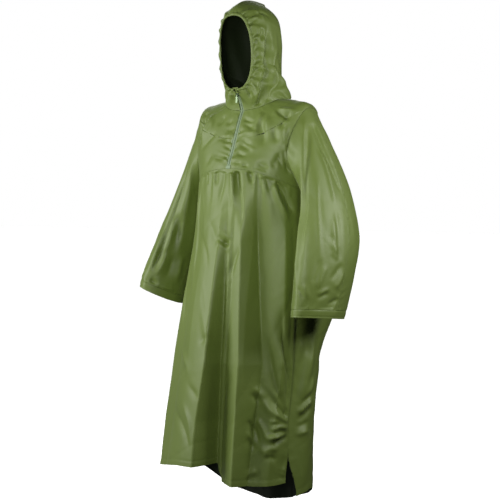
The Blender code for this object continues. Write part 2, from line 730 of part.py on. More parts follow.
def build_pull():
    """The pull tab, hanging from the pin: an eye, a narrow neck between the lugs and a wider tab."""
    face, down, out = slider_place()
    frame = standing(face + out * PIN_HIGH, np.array([0.0, 0, -1]), np.array([0.0, -1, 0]))
    eye_width, tab_width, length, thick = PULL
    neck_end = EYE_RADIUS + LUG[1] / 2 + OVERLAP
    pull = rod("zip_pull", EYE_RADIUS, eye_width, (0, 0, 0), frame)
    neck_long = neck_end - EYE_HOLE
    neck = box("neck", (eye_width - 2 * OVERLAP, neck_long, thick), (0, EYE_HOLE + neck_long / 2, 0), frame)
    tab_long = length - neck_end + OVERLAP
    tab = box("tab", (tab_width, tab_long, thick + OVERLAP), (0, length - tab_long / 2, 0), frame)
    combine(pull, [neck, tab], "UNION")
    hole = rod("hole", EYE_HOLE, 2 * eye_width, (0, 0, 0), frame)
    combine(pull, [hole], "DIFFERENCE")


def main():
    for obj in list(bpy.data.objects):
        bpy.data.objects.remove(obj)
    build_yoke("yoke_left", 1)
    build_yoke("yoke_right", -1)
    build_skirt()
    build_back()
    build_hood("hood_left", False)
    build_hood("hood_right", True)
    build_sleeve("sleeve_left", SLEEVE_LEFT, False)
    build_sleeve("sleeve_right", SLEEVE_RIGHT, True)
    build_cuff("cuff_left", SLEEVE_LEFT, False)
    build_cuff("cuff_right", SLEEVE_RIGHT, True)
    build_casing()
    build_zip()
    build_slider()
    build_pull()


main()
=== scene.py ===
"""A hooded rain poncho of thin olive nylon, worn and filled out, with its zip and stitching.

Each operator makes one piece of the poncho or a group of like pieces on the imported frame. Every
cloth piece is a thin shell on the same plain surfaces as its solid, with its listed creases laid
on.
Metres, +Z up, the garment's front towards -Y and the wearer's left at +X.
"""

import math

import bpy
import numpy as np
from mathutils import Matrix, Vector


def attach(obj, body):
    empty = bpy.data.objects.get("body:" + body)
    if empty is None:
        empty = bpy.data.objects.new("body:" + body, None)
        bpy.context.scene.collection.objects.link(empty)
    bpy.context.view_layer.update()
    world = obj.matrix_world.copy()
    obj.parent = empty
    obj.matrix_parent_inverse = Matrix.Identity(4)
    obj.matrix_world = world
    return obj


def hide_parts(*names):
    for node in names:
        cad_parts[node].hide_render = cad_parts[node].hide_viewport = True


bl_info = {
    "name": "Rain poncho",
    "version": (1, 0, 0),
    "blender": (4, 5, 0),
    "location": "3D View > Sidebar > Poncho",
    "description": "Makes a hooded rain poncho of thin nylon with its zip, seams and stitching",
    "category": "Add Mesh",
}

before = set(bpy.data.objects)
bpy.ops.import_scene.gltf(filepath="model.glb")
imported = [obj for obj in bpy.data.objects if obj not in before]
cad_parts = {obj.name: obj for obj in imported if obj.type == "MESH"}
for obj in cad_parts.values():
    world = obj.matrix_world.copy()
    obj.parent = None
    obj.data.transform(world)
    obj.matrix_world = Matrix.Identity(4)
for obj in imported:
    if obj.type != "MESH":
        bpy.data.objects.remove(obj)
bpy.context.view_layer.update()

# ---------------------------------------------------------------- sizes shared with the solids
SEAM_GAP, ZIP_GAP, ZIP_SHOWS = 0.0004, 0.0055, 0.0072
CUFF_BAND, CASING, CASING_THICK = 0.028, 0.009, 0.0014
GAP_ANGLE, GAP_ROW = 0.12, 0.0036
VENT_ROW, VENT_SPREAD, SIDE_SEAM_ANGLE = 8.45, 7.0, 74.0
TAIL_ROW, LEFT_DROP, RIGHT_DROP = 8.3, 0.55, 0.02

# ---------------------------------------------------------------- the garment's plain surfaces
# Rings of the body from the neck to the hem: z in front, at the side and behind, half width,
# depth in front and behind, shift to the wearer's left and back, and how square the ring is.
BODY = np.array([
    (-0.015, 0.022, 0.030, 0.100, 0.083, 0.104, 0, 0, 0.80),
    (-0.060, 0.014, 0.000, 0.152, 0.104, 0.130, 0, 0, 0.84),
    (-0.105, -0.010, -0.060, 0.200, 0.122, 0.152, 0, 0, 0.86),
    (-0.152, -0.140, -0.150, 0.202, 0.140, 0.180, 0, 0, 0.86),
    (-0.200, -0.265, -0.260, 0.186, 0.158, 0.214, 0, 0, 0.86),
    (-0.400, -0.420, -0.430, 0.190, 0.178, 0.240, 0, 0, 0.88),
    (-0.620, -0.630, -0.640, 0.208, 0.198, 0.238, -0.010, 0, 0.88),
    (-0.800, -0.810, -0.840, 0.220, 0.212, 0.190, -0.022, 0, 0.90),
    (-0.980, -0.990, -1.050, 0.229, 0.228, 0.146, -0.035, 0, 0.90),
    (-1.152, -1.156, -1.280, 0.238, 0.240, 0.130, -0.044, 0, 0.90),
])
YOKE_ROW, HEM_ROW = 4.0, 9.0

# The long folds of the skirt: angle at their top and at the hem, starting row, depth halfway
# and at the hem, half their width in degrees.
FOLDS = [
    (-46, -42, 4.2, 0.014, 0.036, 32),
    (-8, -7, 4.6, 0.018, 0.046, 15),
    (5, 7, 5.0, -0.020, -0.050, 9),
    (18, 24, 4.0, 0.018, 0.000, 10),
    (35, 38, 4.2, -0.034, -0.036, 12),
    (58, 56, 4.4, 0.008, -0.008, 13),
    (80, 74, 5.4, -0.020, -0.016, 16),
    (-84, -80, 5.4, -0.014, -0.020, 16),
    (140, 146, 5.0, -0.022, -0.024, 15),
    (178, 176, 5.4, -0.018, -0.026, 14),
    (-143, -146, 5.0, -0.022, -0.024, 15),
]
# Where the back bulges behind the arms: angle, half angle, row, half the rows, height.
SWELLS = [(122, 34, 5.85, 1.05, 0.038), (-124, 34, 5.70, 1.20, 0.024)]
# The gathers under the yoke: angle, how many rows they run down, depth.
GATHERS = [
    (-58, 0.50, 0.0045), (-44, 0.70, 0.0055), (-31, 0.45, 0.0045), (-19, 0.80, 0.0050),
    (-8, 0.50, 0.0045), (9, 0.95, 0.0065), (22, 0.55, 0.0050), (33, 0.80, 0.0060),
    (45, 0.50, 0.0045), (57, 0.70, 0.0050),
]
GATHER_HALF_ANGLE = 6.0

FRONT_HEM_FROM = 8.2
FRONT_HEM = [(-60, 9.0), (-36, 8.91), (-10, 8.80), (6.6, 8.78), (13, 9.10), (24, 9.14), (38, 9.16),
             (60, 9.14), (80, 9.10)]
# The front's fold lines: angle and height in mm at each of these rows.
PANEL_ROWS = (4.4, 5.1, 5.95, 7.0, 8.0, 9.1)
PANEL_NUDGES = (-0.6, 0.0, 0.6)     # degrees; averaging over these rounds the fold lines off
PANEL_LINES = [
    [(-29, 1), (-29, 5), (-32, 15), (-31, 20), (-30, 24), (-31, 28)],
    [(-10, 2), (-10, 17), (-10, 33), (-7, 46), (-8, 50), (-9, 56)],
    [(-3, 3), (-1, 20), (0, 38), (2, 55), (1, 58), (1.5, 64)],
    [(2, 1), (3, 6), (3.6, -6), (5, -14), (4.6, -42), (6.6, -44)],
    [(6, 1), (6.5, 6), (7.4, 2), (8.2, -6), (7.2, -37), (9.8, -36)],
    [(8, 0), (8.7, 2), (9.6, -3), (10.2, -10), (9, -41), (11.8, -38)],
    [(14.5, 6), (16.7, 11), (19, 16), (22.6, 20), (23.6, 10), (23.8, 8)],
    [(30, -14), (32.5, -34), (38, -33), (44, -28), (41, -42), (36, -36)],
    [(61, 4), (62, 7), (61.4, 4), (61, 2), (58, -4), (53, -12)],
    [(72, 0), (71.6, 0), (71, -6), (68, -8), (74, -22), (71, -17)],
]

ARMHOLE_TOP_ROW, ARMHOLE_BOTTOM_ROW, ARMHOLE_HALF_ANGLE = 2.0, 3.90, 34.0
SLEEVE_RIDGE = 1.12
# Rings of the sleeves: centre, half width across, depth, tilt and lean in degrees.
SLEEVE_LEFT = [
    (0.225, 0.006, -0.205, 0.101, 0.100, 75, 0),
    (0.262, 0.004, -0.305, 0.071, 0.122, 42, 0),
    (0.281, -0.016, -0.420, 0.074, 0.148, 14, -2),
    (0.284, -0.045, -0.530, 0.072, 0.143, 7, -4),
    (0.278, -0.062, -0.620, 0.065, 0.131, 3, -5),
    (0.274, -0.068, -0.658, 0.062, 0.125, 1, -5),
]
SLEEVE_RIGHT = [
    (0.213, 0.010, -0.200, 0.100, 0.092, 80, 0),
    (0.244, -0.003, -0.290, 0.065, 0.095, 51, 0),
    (0.278, -0.023, -0.400, 0.063, 0.100, 28, -4),
    (0.302, -0.052, -0.500, 0.061, 0.105, 24, -8),
    (0.316, -0.076, -0.570, 0.061, 0.102, 22, -12),
    (0.322, -0.086, -0.607, 0.061, 0.098, 22, -13),
]
FACE_BOTTOM, FACE_TOP, FACE_HALF_WIDTH = 0.050, 0.276, 0.058
FACE_Y_BOTTOM, FACE_Y_TOP = -0.118, -0.133
HEAD_MIDDLE = np.array([0.0, -0.02, 0.15])
NAPE_SHARE = 0.47
CENTRE_SEAM = np.array([
    (0, 0.104, 0.030), (0, 0.106, 0.110), (0, 0.114, 0.190), (0, 0.099, 0.268), (0, 0.040, 0.330),
])
RIM_GATHERS, RIM_GATHER_HEIGHT = 10, 0.0036
# The hood's long folds: where they run along the curves from the rim, at their low and high
# share of the rim, the shares they span, depth and half width.
HOOD_FOLDS = [
    (0.80, 0.42, 0.12, 0.78, -0.0100, 0.16),
    (0.46, 0.24, 0.10, 0.66, -0.0040, 0.10),
    (0.96, 0.64, 0.24, 0.84, 0.0050, 0.18),
]


def smooth(t):
    """0 before 0, 1 after 1 and a smooth rise between."""
    t = np.clip(t, 0.0, 1.0)
    return t * t * (3 - 2 * t)


def bump(offset, half_width):
    """A raised cosine: 1 in its middle, 0 from half_width on."""
    inside = np.abs(offset) < half_width
    return np.where(inside, 0.5 + 0.5 * np.cos(np.pi * offset / half_width), 0.0)


def signed_power(value, power):
    return np.copysign(np.abs(value) ** power, value)


def through(values, t):
    """The smooth curve through rows of values, read at the places t."""
    values, t = np.asarray(values, float), np.asarray(t, float)
    i = np.clip(np.floor(t).astype(int), 0, len(values) - 2)
    f = (t - i).reshape(t.shape + (1,) * (values.ndim - 1))
    ends = np.concatenate([[2 * values[0] - values[1]], values, [2 * values[-1] - values[-2]]])
    a, b, c, d = (ends[i + k] for k in range(4))
    return b + 0.5 * f * (c - a + f * (2 * a - 5 * b + 4 * c - d + f * (3 * (b - c) + d - a)))


def turned(angle, middle):
    """How many degrees an angle is from a middle one, from -180 to 180."""
    return (angle - middle + 180) % 360 - 180


def fold_height(angle, row):
    """How far the body stands out of its plain ring: long folds, swells and gathers."""
    total = np.zeros(np.broadcast(angle, row).shape)
    for top, hem, start, middle_depth, hem_depth, half in FOLDS:
        along = np.clip((row - start) / (HEM_ROW - start), 0, None)
        depth = middle_depth * np.sin(np.pi * np.minimum(1, along)) + hem_depth * along ** 1.5
        total += depth * bump(turned(angle, top + (hem - top) * along), half) * (along > 0)
    for middle, half, at_row, half_rows, height in SWELLS:
        total += height * bump(turned(angle, middle), half) * bump(row - at_row, half_rows)
    for middle, reach, depth in GATHERS:
        along = (row - YOKE_ROW) / reach
        rise = smooth(along * 5) * (1 - smooth(along)) * (along > 0)
        total -= depth * rise * bump(turned(angle, middle), GATHER_HALF_ANGLE)
    return total


def body_at(angle, row, more=0.0):
    """Points of the body: angles in degrees from the centre front towards the wearer's left.
    more is how much further the cloth stands out than the plain folds."""
    angle, row = np.broadcast_arrays(np.asarray(angle, float), np.asarray(row, float))
    z_front, z_side, z_back, half_width, front, back, shift_x, shift_y, square = np.moveaxis(
        through(BODY, row), -1, 0)
    s, c = np.sin(np.radians(angle)), np.cos(np.radians(angle))
    out = fold_height(angle, row) + more
    x = signed_power(s, square) * half_width + s * out + shift_x
    y = -signed_power(c, square) * np.where(c > 0, front, back) - c * out + shift_y
    z = z_side + (np.where(c > 0, z_front, z_back) - z_side) * np.abs(c) ** 1.6
    return np.stack([x, y, z], -1)


def panel_height(angle, row):
    """The front's height over its plain ring, straight from each fold line to the next."""
    total = 0.0
    for nudge in PANEL_NUDGES:
        at, out = (np.array([np.interp(row, PANEL_ROWS, np.array(line)[:, k])
                             for line in PANEL_LINES]) for k in (0, 1))
        part = out[0]
        for k in range(len(at) - 1):
            t = np.clip((angle + nudge - at[k]) / (at[k + 1] - at[k]), 0, 1)
            part = part + (out[k + 1] - out[k]) * t
        total = total + part / (1000 * len(PANEL_NUDGES))
    return total


def skirt_at(angle, row):
    """Points of the front below the yoke, where stiff flat panels stand between its folds."""
    angle, row = np.broadcast_arrays(np.asarray(angle, float), np.asarray(row, float))
    # The panels fade in under the gathers and out towards both side seams.
    share = smooth((row - 4.25) / 0.7) * smooth((angle + 54) / 16) * smooth((80 - angle) / 8)
    return body_at(angle, row, share * (panel_height(angle, row) - fold_height(angle, row)))


def front_hem(angle, row):
    """The row that a row of the front's grid has at this angle, where the hem isn't level."""
    low = np.maximum(0.0, row - FRONT_HEM_FROM)
    end = np.interp(angle, *zip(*FRONT_HEM))
    return row - low + low * (end - FRONT_HEM_FROM) / (HEM_ROW - FRONT_HEM_FROM)


def rim_at(share):
    """The face opening's edge on the wearer's left: share 0 is the chin and 1 the forehead."""
    turn = np.pi * share
    middle, half = (FACE_BOTTOM + FACE_TOP) / 2, (FACE_TOP - FACE_BOTTOM) / 2
    x = FACE_HALF_WIDTH * np.abs(np.sin(turn)) ** 0.72
    z = middle - half * signed_power(np.cos(turn), 0.86)
    up = (z - FACE_BOTTOM) / (FACE_TOP - FACE_BOTTOM)
    y = FACE_Y_BOTTOM + (FACE_Y_TOP - FACE_Y_BOTTOM) * up + 0.010 * np.sin(turn) ** 2
    return np.stack([x, y, z], -1)


def hood_fold_height(share, along):
    total = np.zeros(np.broadcast(share, along).shape)
    for low, high, first, last, depth, half in HOOD_FOLDS:
        t = np.clip((share - first) / (last - first), 0, 1)
        total += depth * np.sin(np.pi * t) ** 0.7 * bump(along - low - (high - low) * t, half)
    return total * smooth((1 - along) * 7)


def hood_at(share, along):
    """Points of the hood's left half: along is 0 at the rim, 1 at the neckline or centre seam."""
    share, f = np.broadcast_arrays(np.asarray(share, float), np.asarray(along, float))
    zero = np.zeros_like(share)
    low = np.clip(share / NAPE_SHARE, 0, 1)
    wrap = smooth((low - 0.45) / 0.55)
    high = np.clip((share - NAPE_SHARE) / (1 - NAPE_SHARE), 0, 1)
    side = np.cos(0.5 * np.pi * high ** 3.6)
    outward = np.stack([np.sin(np.pi * low), -0.6 * np.cos(np.pi * low), zero], -1)
    low_leave = np.stack([0.02 + 0.10 * low, 0.02 + 0.05 * low, -0.045 * (1 - low)], -1)
    low_arrive = np.array([0, 0, -0.07]) - 0.02 * (1 - low)[..., None] * outward
    w = wrap[..., None]
    low_leave = (1 - w) * low_leave + w * np.array([0.19, 0.10, 0.0])
    low_arrive = (1 - w) * low_arrive + w * np.array([-0.29, 0.00, -0.02])
    high_arrive = np.stack([-0.29 * side, 0.15 * (1 - side), zero - 0.02], -1)
    high_leave = np.stack([0.19 * side, 0.10 - 0.04 * high ** 3, 0.21 * high ** 1.6], -1)
    below = (share <= NAPE_SHARE)[..., None]
    start = rim_at(share)
    end = np.where(below, body_at(180 * low, 0), through(CENTRE_SEAM, high * 4))
    leave = np.where(below, low_leave, high_leave)
    arrive = np.where(below, low_arrive, high_arrive)
    g = f[..., None]
    point = ((2 * g ** 3 - 3 * g ** 2 + 1) * start + (g ** 3 - 2 * g ** 2 + g) * leave
             + (3 * g ** 2 - 2 * g ** 3) * end + (g ** 3 - g ** 2) * arrive)
    away = point - HEAD_MIDDLE
    away /= np.linalg.norm(away, axis=-1, keepdims=True)
    ripple = np.cos(2 * np.pi * RIM_GATHERS * share) * smooth(f * 12) * (1 - smooth(f / 0.42))
    gathers = RIM_GATHER_HEIGHT * ripple * smooth(share * 9) * smooth((1 - share) * 9)
    return point + away * (gathers + hood_fold_height(share, f))[..., None]


def armhole_at(turn, wider=0.0):
    """The body's angle and row on the armhole: turn 0 is its top, 90 its front, 180 its foot."""
    turn = np.asarray(turn, float)
    middle = (ARMHOLE_TOP_ROW + ARMHOLE_BOTTOM_ROW) / 2
    half = (ARMHOLE_BOTTOM_ROW - ARMHOLE_TOP_ROW) / 2 + wider * GAP_ROW
    row = middle - half * np.cos(np.radians(turn))
    return 90 - (ARMHOLE_HALF_ANGLE + wider * GAP_ANGLE) * np.sin(np.radians(turn)), row


def sleeve_at(rings, turn, along):
    """Points of a left sleeve: along is 0 at the armhole and counts one for each ring.
    turn has one value for each column and along one for each row; the points are a grid."""
    turn = np.asarray(turn, float)
    w = np.radians(turn)
    ends = [body_at(*armhole_at(turn))]
    for x, y, z, across, depth, tilt, lean in rings:
        t, lean = math.radians(tilt), math.radians(lean)
        out = np.array([math.cos(t), 0, math.sin(t)])
        front = np.array([0, -math.cos(lean), -math.sin(lean)])
        ends.append(np.array([x, y, z])
                    + signed_power(np.cos(w), SLEEVE_RIDGE)[:, None] * across * out
                    + signed_power(np.sin(w), SLEEVE_RIDGE)[:, None] * depth * front)
    return through(np.stack(ends), along)


# ---------------------------------------------------------------- listed creases
# Height in mm, half width in mm on its left and right, shares of its length that fade in and out,
# and its places: angle and row on the body, share and along on the hood, turn and ring on a sleeve.
CREASES = {
    "yoke": [
        (-9.6, 9, 14, 0.3, 0.4, [(-57.5, 1.51), (-49.5, 1.86), (-47, 2.3), (-47, 2.64)]),
        (8, 12, 10, 0.3, 0.4, [(-52, 0.84), (-40.5, 1.44), (-39.5, 2.18), (-43, 2.77)]),
        (-6.4, 8, 8, 0.3, 0.5, [(-20, 1.65), (-27, 2.23), (-35.5, 2.64), (-46, 2.89)]),
        (-4.8, 7, 10, 0.4, 0.4, [(-26, 0.36), (-23.5, 0.88), (-25, 1.39)]),
        (4.8, 9, 9, 0.5, 0.5, [(-58.5, 1.28), (-51.5, 1.64), (-47.5, 1.9)]),
        (-4, 5, 6, 0.4, 0.4, [(-6.5, 0.64), (-10.5, 0.88), (-15.5, 0.99)]),
        (-4.8, 5, 6, 0.4, 0.4, [(-2, 1.21), (-5.5, 1.37), (-10.5, 1.4)]),
        (-5.6, 5, 8, 0.4, 0.4, [(0, 1.82), (-1.5, 2.11), (-6.5, 2.19), (-14, 2.07)]),
        (4, 5, 6, 0.4, 0.4, [(-1, 1.59), (-4.5, 1.77), (-12, 1.84)]),
        (-4.8, 5, 6, 0.4, 0.4, [(0.5, 2.75), (-3, 2.62), (-9, 2.4)]),
        (-3.2, 5, 5, 0.4, 0.4, [(0, 3.48), (-2.5, 3.29), (-7, 2.98)]),
        (-3.2, 6, 8, 0.4, 0.4, [(-3, 3.73), (-9, 3.51), (-17, 3.35)]),
        (-3.2, 10, 12, 0.4, 0.4, [(-19.5, 2.88), (-24, 3.45), (-27, 3.85)]),
        (-5.6, 5, 6, 0.3, 0.4, [(3.5, 0.56), (10.5, 0.77), (19.5, 1.06)]),
        (-4.8, 4, 6, 0.3, 0.4, [(4.5, 0.95), (11, 1.14), (20, 1.43)]),
        (4, 5, 6, 0.4, 0.4, [(7, 1.52), (14, 1.72), (22.5, 1.8)]),
        (-4.8, 6, 6, 0.3, 0.4, [(5.5, 2.05), (11, 2.36), (17, 2.62)]),
        (-5.6, 5, 7, 0.3, 0.4, [(3.5, 2.3), (10, 2.59), (18.5, 2.82)]),
        (-4, 4, 6, 0.3, 0.4, [(3.5, 2.9), (7.5, 3.05), (14, 3.24)]),
        (-3.2, 4, 5, 0.3, 0.4, [(3, 3.77), (7, 3.8), (11.5, 3.75)]),
        (-8, 12, 18, 0.4, 0.4, [(26, 0.78), (26, 1.61), (27, 2.31), (25.5, 2.8)]),
        (6.4, 12, 14, 0.4, 0.5, [(40.5, 0.85), (32, 1.64), (29, 2.29)]),
        (-6.4, 9, 12, 0.4, 0.4, [(37, 1.8), (39.5, 2.34), (43.5, 2.73)]),
        (6.4, 9, 9, 0.4, 0.4, [(44, 2.03), (48.5, 2.5), (52, 2.89)]),
        (-8, 9, 9, 0.4, 0.4, [(50.5, 2.25), (53, 2.56), (56.5, 2.83)]),
        (-9.6, 9, 12, 0.3, 0.4, [(51.5, 0.96), (52.5, 1.66), (59.5, 2.14)]),
        (8, 9, 9, 0.4, 0.4, [(54, 0.7), (59.5, 1.46), (68.5, 2.05)]),
        (-4.8, 10, 12, 0.4, 0.4, [(25.5, 3.64), (33.5, 3.76), (41.5, 3.76)]),
        (-9.6, 12, 8, 0.4, 0.3, [(66, 2.52), (63.5, 2.92), (61.5, 3.4), (63, 3.9)]),
        (6.4, 9, 9, 0.4, 0.4, [(59, 2.35), (57.5, 2.78), (54, 3.35)]),
        (-4, 7, 7, 0.5, 0.5, [(16.5, 3.72), (15.5, 3.87), (15, 3.99)]),
        (-4.8, 8, 8, 0.5, 0.5, [(43.5, 3.03), (50.5, 3.42), (58, 3.78)]),
        (-7, 5, 9, 0.2, 0.4, [(-65, 1.36), (-53.5, 1.69), (-45, 2.18)]),
        (6, 6, 9, 0.2, 0.4, [(34, 0.46), (21.5, 1.31), (17, 2.33)]),
        (-6, 6, 10, 0.3, 0.3, [(51, 2.89), (58, 3.26), (65.5, 3.69)]),
        (6, 6, 10, 0.3, 0.3, [(48, 0.71), (49.5, 1.69), (57.5, 2.36)]),
        (-5, 5, 8, 0.3, 0.3, [(48.5, 3.03), (46, 3.44), (44, 3.78)]),
        (-3, 4, 5, 0.3, 0.4, [(8.5, 1.12), (15.5, 1.42), (21, 1.93)]),
        (3, 4, 5, 0.3, 0.4, [(9.5, 2.47), (16.5, 2.73), (24, 2.89)]),
        (-3, 4, 5, 0.3, 0.4, [(-4.5, 2.08), (-10.5, 2.01), (-16.5, 2.28)]),
        (4, 4, 6, 0.3, 0.4, [(-38, 1.07), (-31, 1.7), (-35.5, 2.3)]),
        (-6, 5, 8, 0.2, 0.3, [(64, 1.62), (51.5, 1.92), (44.5, 2.23)]),
    ],
    "skirt": [
        (-5.6, 6, 7, 0, 0.5, [(-12, 4.06), (-11.6, 4.2), (-9.9, 4.34)]),
        (-4.8, 7, 8, 0, 0.5, [(-2.9, 4.07), (-3.2, 4.28), (-5.3, 4.49), (-5.3, 4.69)]),
        (-9.6, 5, 9, 0, 0.4, [(8, 4.06), (9.4, 4.28), (13.2, 4.49), (15.7, 4.75), (16.4, 5.1)]),
        (6.4, 8, 9, 0, 0.5, [(3.4, 4.09), (5.2, 4.35), (7.3, 4.61), (8, 4.91)]),
        (-4.8, 5, 6, 0, 0.5, [(20.2, 4.02), (22.7, 4.16), (24.4, 4.27)]),
        (-4.8, 6, 7, 0, 0.5, [(38.4, 4.04), (41.2, 4.19), (44, 4.32)]),
        (4.8, 7, 7, 0, 0.5, [(33.2, 4.01), (37, 4.2), (39.8, 4.43)]),
        (-8, 6, 12, 0, 0.3, [(51, 4.04), (59.8, 4.2), (66.8, 4.38), (74.8, 4.58)]),
        (9.6, 12, 9, 0.2, 0.4, [(47.2, 4.04), (52.1, 4.31), (59.1, 4.53), (66.1, 4.75)]),
        (-4.8, 5, 6, 0, 0.5, [(-24.6, 4.01), (-25.3, 4.15), (-23.2, 4.31)]),
        (-4.8, 8, 8, 0.4, 0.4, [(-2.9, 5), (1, 5.09), (6.6, 5.17)]),
        (-4.8, 8, 8, 0.4, 0.4, [(7.3, 5.06), (4.8, 5.12), (0.6, 5.21)]),
        (4.8, 8, 8, 0.4, 0.4, [(-0.8, 4.95), (3.4, 5.06), (8.3, 5.22)]),
        (-4, 14, 14, 0.4, 0.4, [(-18.3, 4.74), (-7.1, 5), (-2.5, 5.26)]),
        (4, 12, 12, 0.5, 0.5, [(-8.1, 5.95), (-0.4, 6.43), (1, 6.77)]),
        (-4, 10, 10, 0.5, 0.5, [(-5.7, 6.68), (-1.5, 6.57), (0.6, 6.47)]),
        (-12.8, 8, 14, 0.3, 0.1, [(59.4, 5.91), (61.2, 6.48), (68.2, 7.08), (74.1, 7.67),
                                  (74.5, 7.94)]),
        (6.4, 12, 8, 0.3, 0.2, [(57.3, 6.33), (61.2, 6.92), (71.7, 7.46), (74.5, 7.9)]),
        (-9.6, 10, 16, 0.4, 0.3, [(45.4, 6.41), (51.4, 6.96), (59.1, 7.46), (74.1, 7.88)]),
        (-8, 9, 12, 0.4, 0.2, [(45.8, 7.34), (54.9, 7.6), (65.4, 7.79), (74.5, 7.94)]),
        (8, 10, 10, 0.4, 0.3, [(40.5, 7.47), (53.8, 7.77), (66.1, 7.93), (74.8, 8.04)]),
        (-8, 6, 8, 0.4, 0.3, [(52.8, 8.02), (61.2, 8), (74.8, 8.05)]),
        (9.6, 8, 9, 0.3, 0.3, [(54.5, 8.16), (60.5, 8.05), (74.8, 8.12)]),
        (-8, 7, 8, 0.4, 0.3, [(55.6, 8.41), (63.6, 8.29), (74.8, 8.23)]),
        (8, 7, 8, 0.4, 0.4, [(48.6, 8.3), (56.3, 8.23), (69.6, 8.21)]),
        (6.4, 8, 8, 0.4, 0.4, [(45.4, 8.42), (50.3, 8.52), (53.8, 8.69)]),
        (-4.8, 8, 8, 0.4, 0.4, [(34.6, 7.46), (38.8, 7.57), (46.8, 7.65)]),
        (6.4, 9, 9, 0.4, 0.4, [(37, 7.36), (41.6, 7.47), (50, 7.57)]),
        (-4.8, 9, 9, 0.4, 0.4, [(33.9, 8.24), (38.1, 8.38), (43.7, 8.53)]),
        (4.8, 10, 10, 0.4, 0.4, [(31.8, 8.13), (36.7, 8.27), (41.9, 8.42)]),
        (-4.8, 12, 12, 0.4, 0.4, [(33.2, 9.05), (41.2, 8.99), (49.3, 8.95)]),
        (4.8, 9, 9, 0.4, 0.2, [(32.1, 8.98), (39.1, 8.93), (44.4, 8.88)]),
        (-6.4, 5, 5, 0.1, 0.1, [(74.8, 8.16), (74.8, 8.43), (74.8, 8.7), (72.4, 8.96)]),
        (4, 5, 5, 0.1, 0.1, [(74.8, 8.19), (74.5, 8.43), (72.4, 8.69), (68.9, 8.94)]),
        (-4.8, 6, 6, 0.4, 0.4, [(74.8, 8.24), (74.8, 8.29), (74.5, 8.32)]),
        (4, 12, 14, 0.5, 0.5, [(-45.2, 6.67), (-17.9, 6.99), (-8.8, 7.31)]),
        (-4, 10, 12, 0.5, 0.5, [(-14.1, 7.29), (-3.6, 7.49), (1.3, 7.62)]),
        (-3.2, 14, 14, 0.5, 0.5, [(-38.6, 7.73), (-14.1, 8), (-2.5, 8.25)]),
        (-5, 4, 6, 0.2, 0.3, [(-3.6, 5.03), (0.6, 5.12), (6.6, 5.17)]),
        (-5, 6, 8, 0.3, 0.4, [(15.7, 5.16), (10.1, 5.41), (6.2, 5.69)]),
        (4.5, 6, 8, 0.3, 0.3, [(-38.2, 4.03), (-40, 4.63), (-34.4, 5.25), (-23.2, 5.96)]),
        (-4.5, 6, 9, 0.3, 0.3, [(-45.6, 5.29), (-45.2, 5.82), (-34, 6.48)]),
        (7, 5, 8, 0.2, 0.3, [(52.8, 7.96), (60.1, 7.98), (74.5, 8.08)]),
        (7, 5, 8, 0.2, 0.3, [(51.7, 8.31), (60.1, 8.23), (74.8, 8.21)]),
        (6, 6, 9, 0.2, 0.3, [(42.6, 7.92), (48.2, 8.09), (53.1, 8.32)]),
        (-6, 5, 8, 0.2, 0.3, [(33.2, 7.94), (41.6, 8.17), (45.4, 8.42)]),
        (5, 6, 8, 0.3, 0.3, [(48.9, 8.52), (54.9, 8.45), (62.9, 8.47)]),
        (-5, 5, 7, 0.3, 0.3, [(48.9, 8.64), (54.5, 8.61), (62.2, 8.67)]),
        (3.5, 5, 7, 0.3, 0.3, [(-2.5, 5.06), (0.6, 5.16), (6.2, 5.28)]),
        (3, 8, 10, 0.4, 0.4, [(-15.8, 7.63), (-4.6, 7.97), (-0.4, 8.42)]),
        (-3, 6, 10, 0.4, 0.4, [(-19, 7.88), (-6, 8.19), (-1.1, 8.52)]),
        (-3, 5, 8, 0.4, 0.4, [(-35.8, 4.89), (-14.8, 5.2), (-6, 5.53)]),
    ],
    "back": [
        (-8, 8, 9, 0.3, 0.3, [(83, 8.02), (88, 7.88), (95, 7.71)]),
        (9.6, 8, 8, 0.3, 0.3, [(84, 7.88), (88, 7.74), (97, 7.58)]),
        (-8, 7, 8, 0.4, 0.4, [(84.5, 7.81), (89.5, 7.62), (98, 7.44)]),
        (8, 8, 8, 0.4, 0.4, [(88, 7.64), (94, 7.4), (98.5, 7.2)]),
        (-6.4, 7, 8, 0.4, 0.4, [(82.5, 8.09), (86.5, 8.06), (94, 7.99)]),
        (6.4, 7, 8, 0.4, 0.4, [(81.5, 8.27), (86.5, 8.2), (94, 8.17)]),
        (-6.4, 12, 12, 0.4, 0.4, [(85, 6.39), (89, 6.66), (90.5, 6.95)]),
        (8, 14, 10, 0.4, 0.3, [(99, 6.43), (93.5, 6.77), (88.5, 7.27), (84.5, 7.77)]),
    ],
    "sleeve_right": [
        (-8, 12, 14, 0.4, 0.4, [(72, 0.96), (92, 1.58), (99, 2.38), (105, 3.08)]),
        (6.4, 12, 12, 0.4, 0.4, [(97, 0.36), (109, 1.36), (117, 2.32), (128, 3.04)]),
        (-6.4, 10, 12, 0.4, 0.4, [(110, 2.14), (124, 2.74), (130, 3.44)]),
        (6.4, 10, 10, 0.4, 0.4, [(107, 2.52), (113, 3.22), (117, 3.82)]),
        (-6.4, 9, 12, 0.4, 0.4, [(98, 3.52), (104, 4), (101, 4.56)]),
        (5.6, 9, 10, 0.4, 0.4, [(120, 3.56), (120, 4.12), (116, 4.72)]),
        (-6.4, 10, 12, 0.4, 0.4, [(136, 3.48), (141, 4.04), (140, 4.74)]),
        (6.4, 9, 10, 0.4, 0.4, [(152, 3.42), (159, 4.02), (164, 4.76)]),
        (-4.8, 6, 7, 0.4, 0.4, [(140, 5.42), (156, 5.38), (181, 5.48)]),
        (4.8, 6, 7, 0.4, 0.4, [(132, 5.22), (150, 5.16), (170, 5.16)]),
        (-4.8, 8, 8, 0.4, 0.4, [(103, 5.02), (115, 5), (131, 5.1)]),
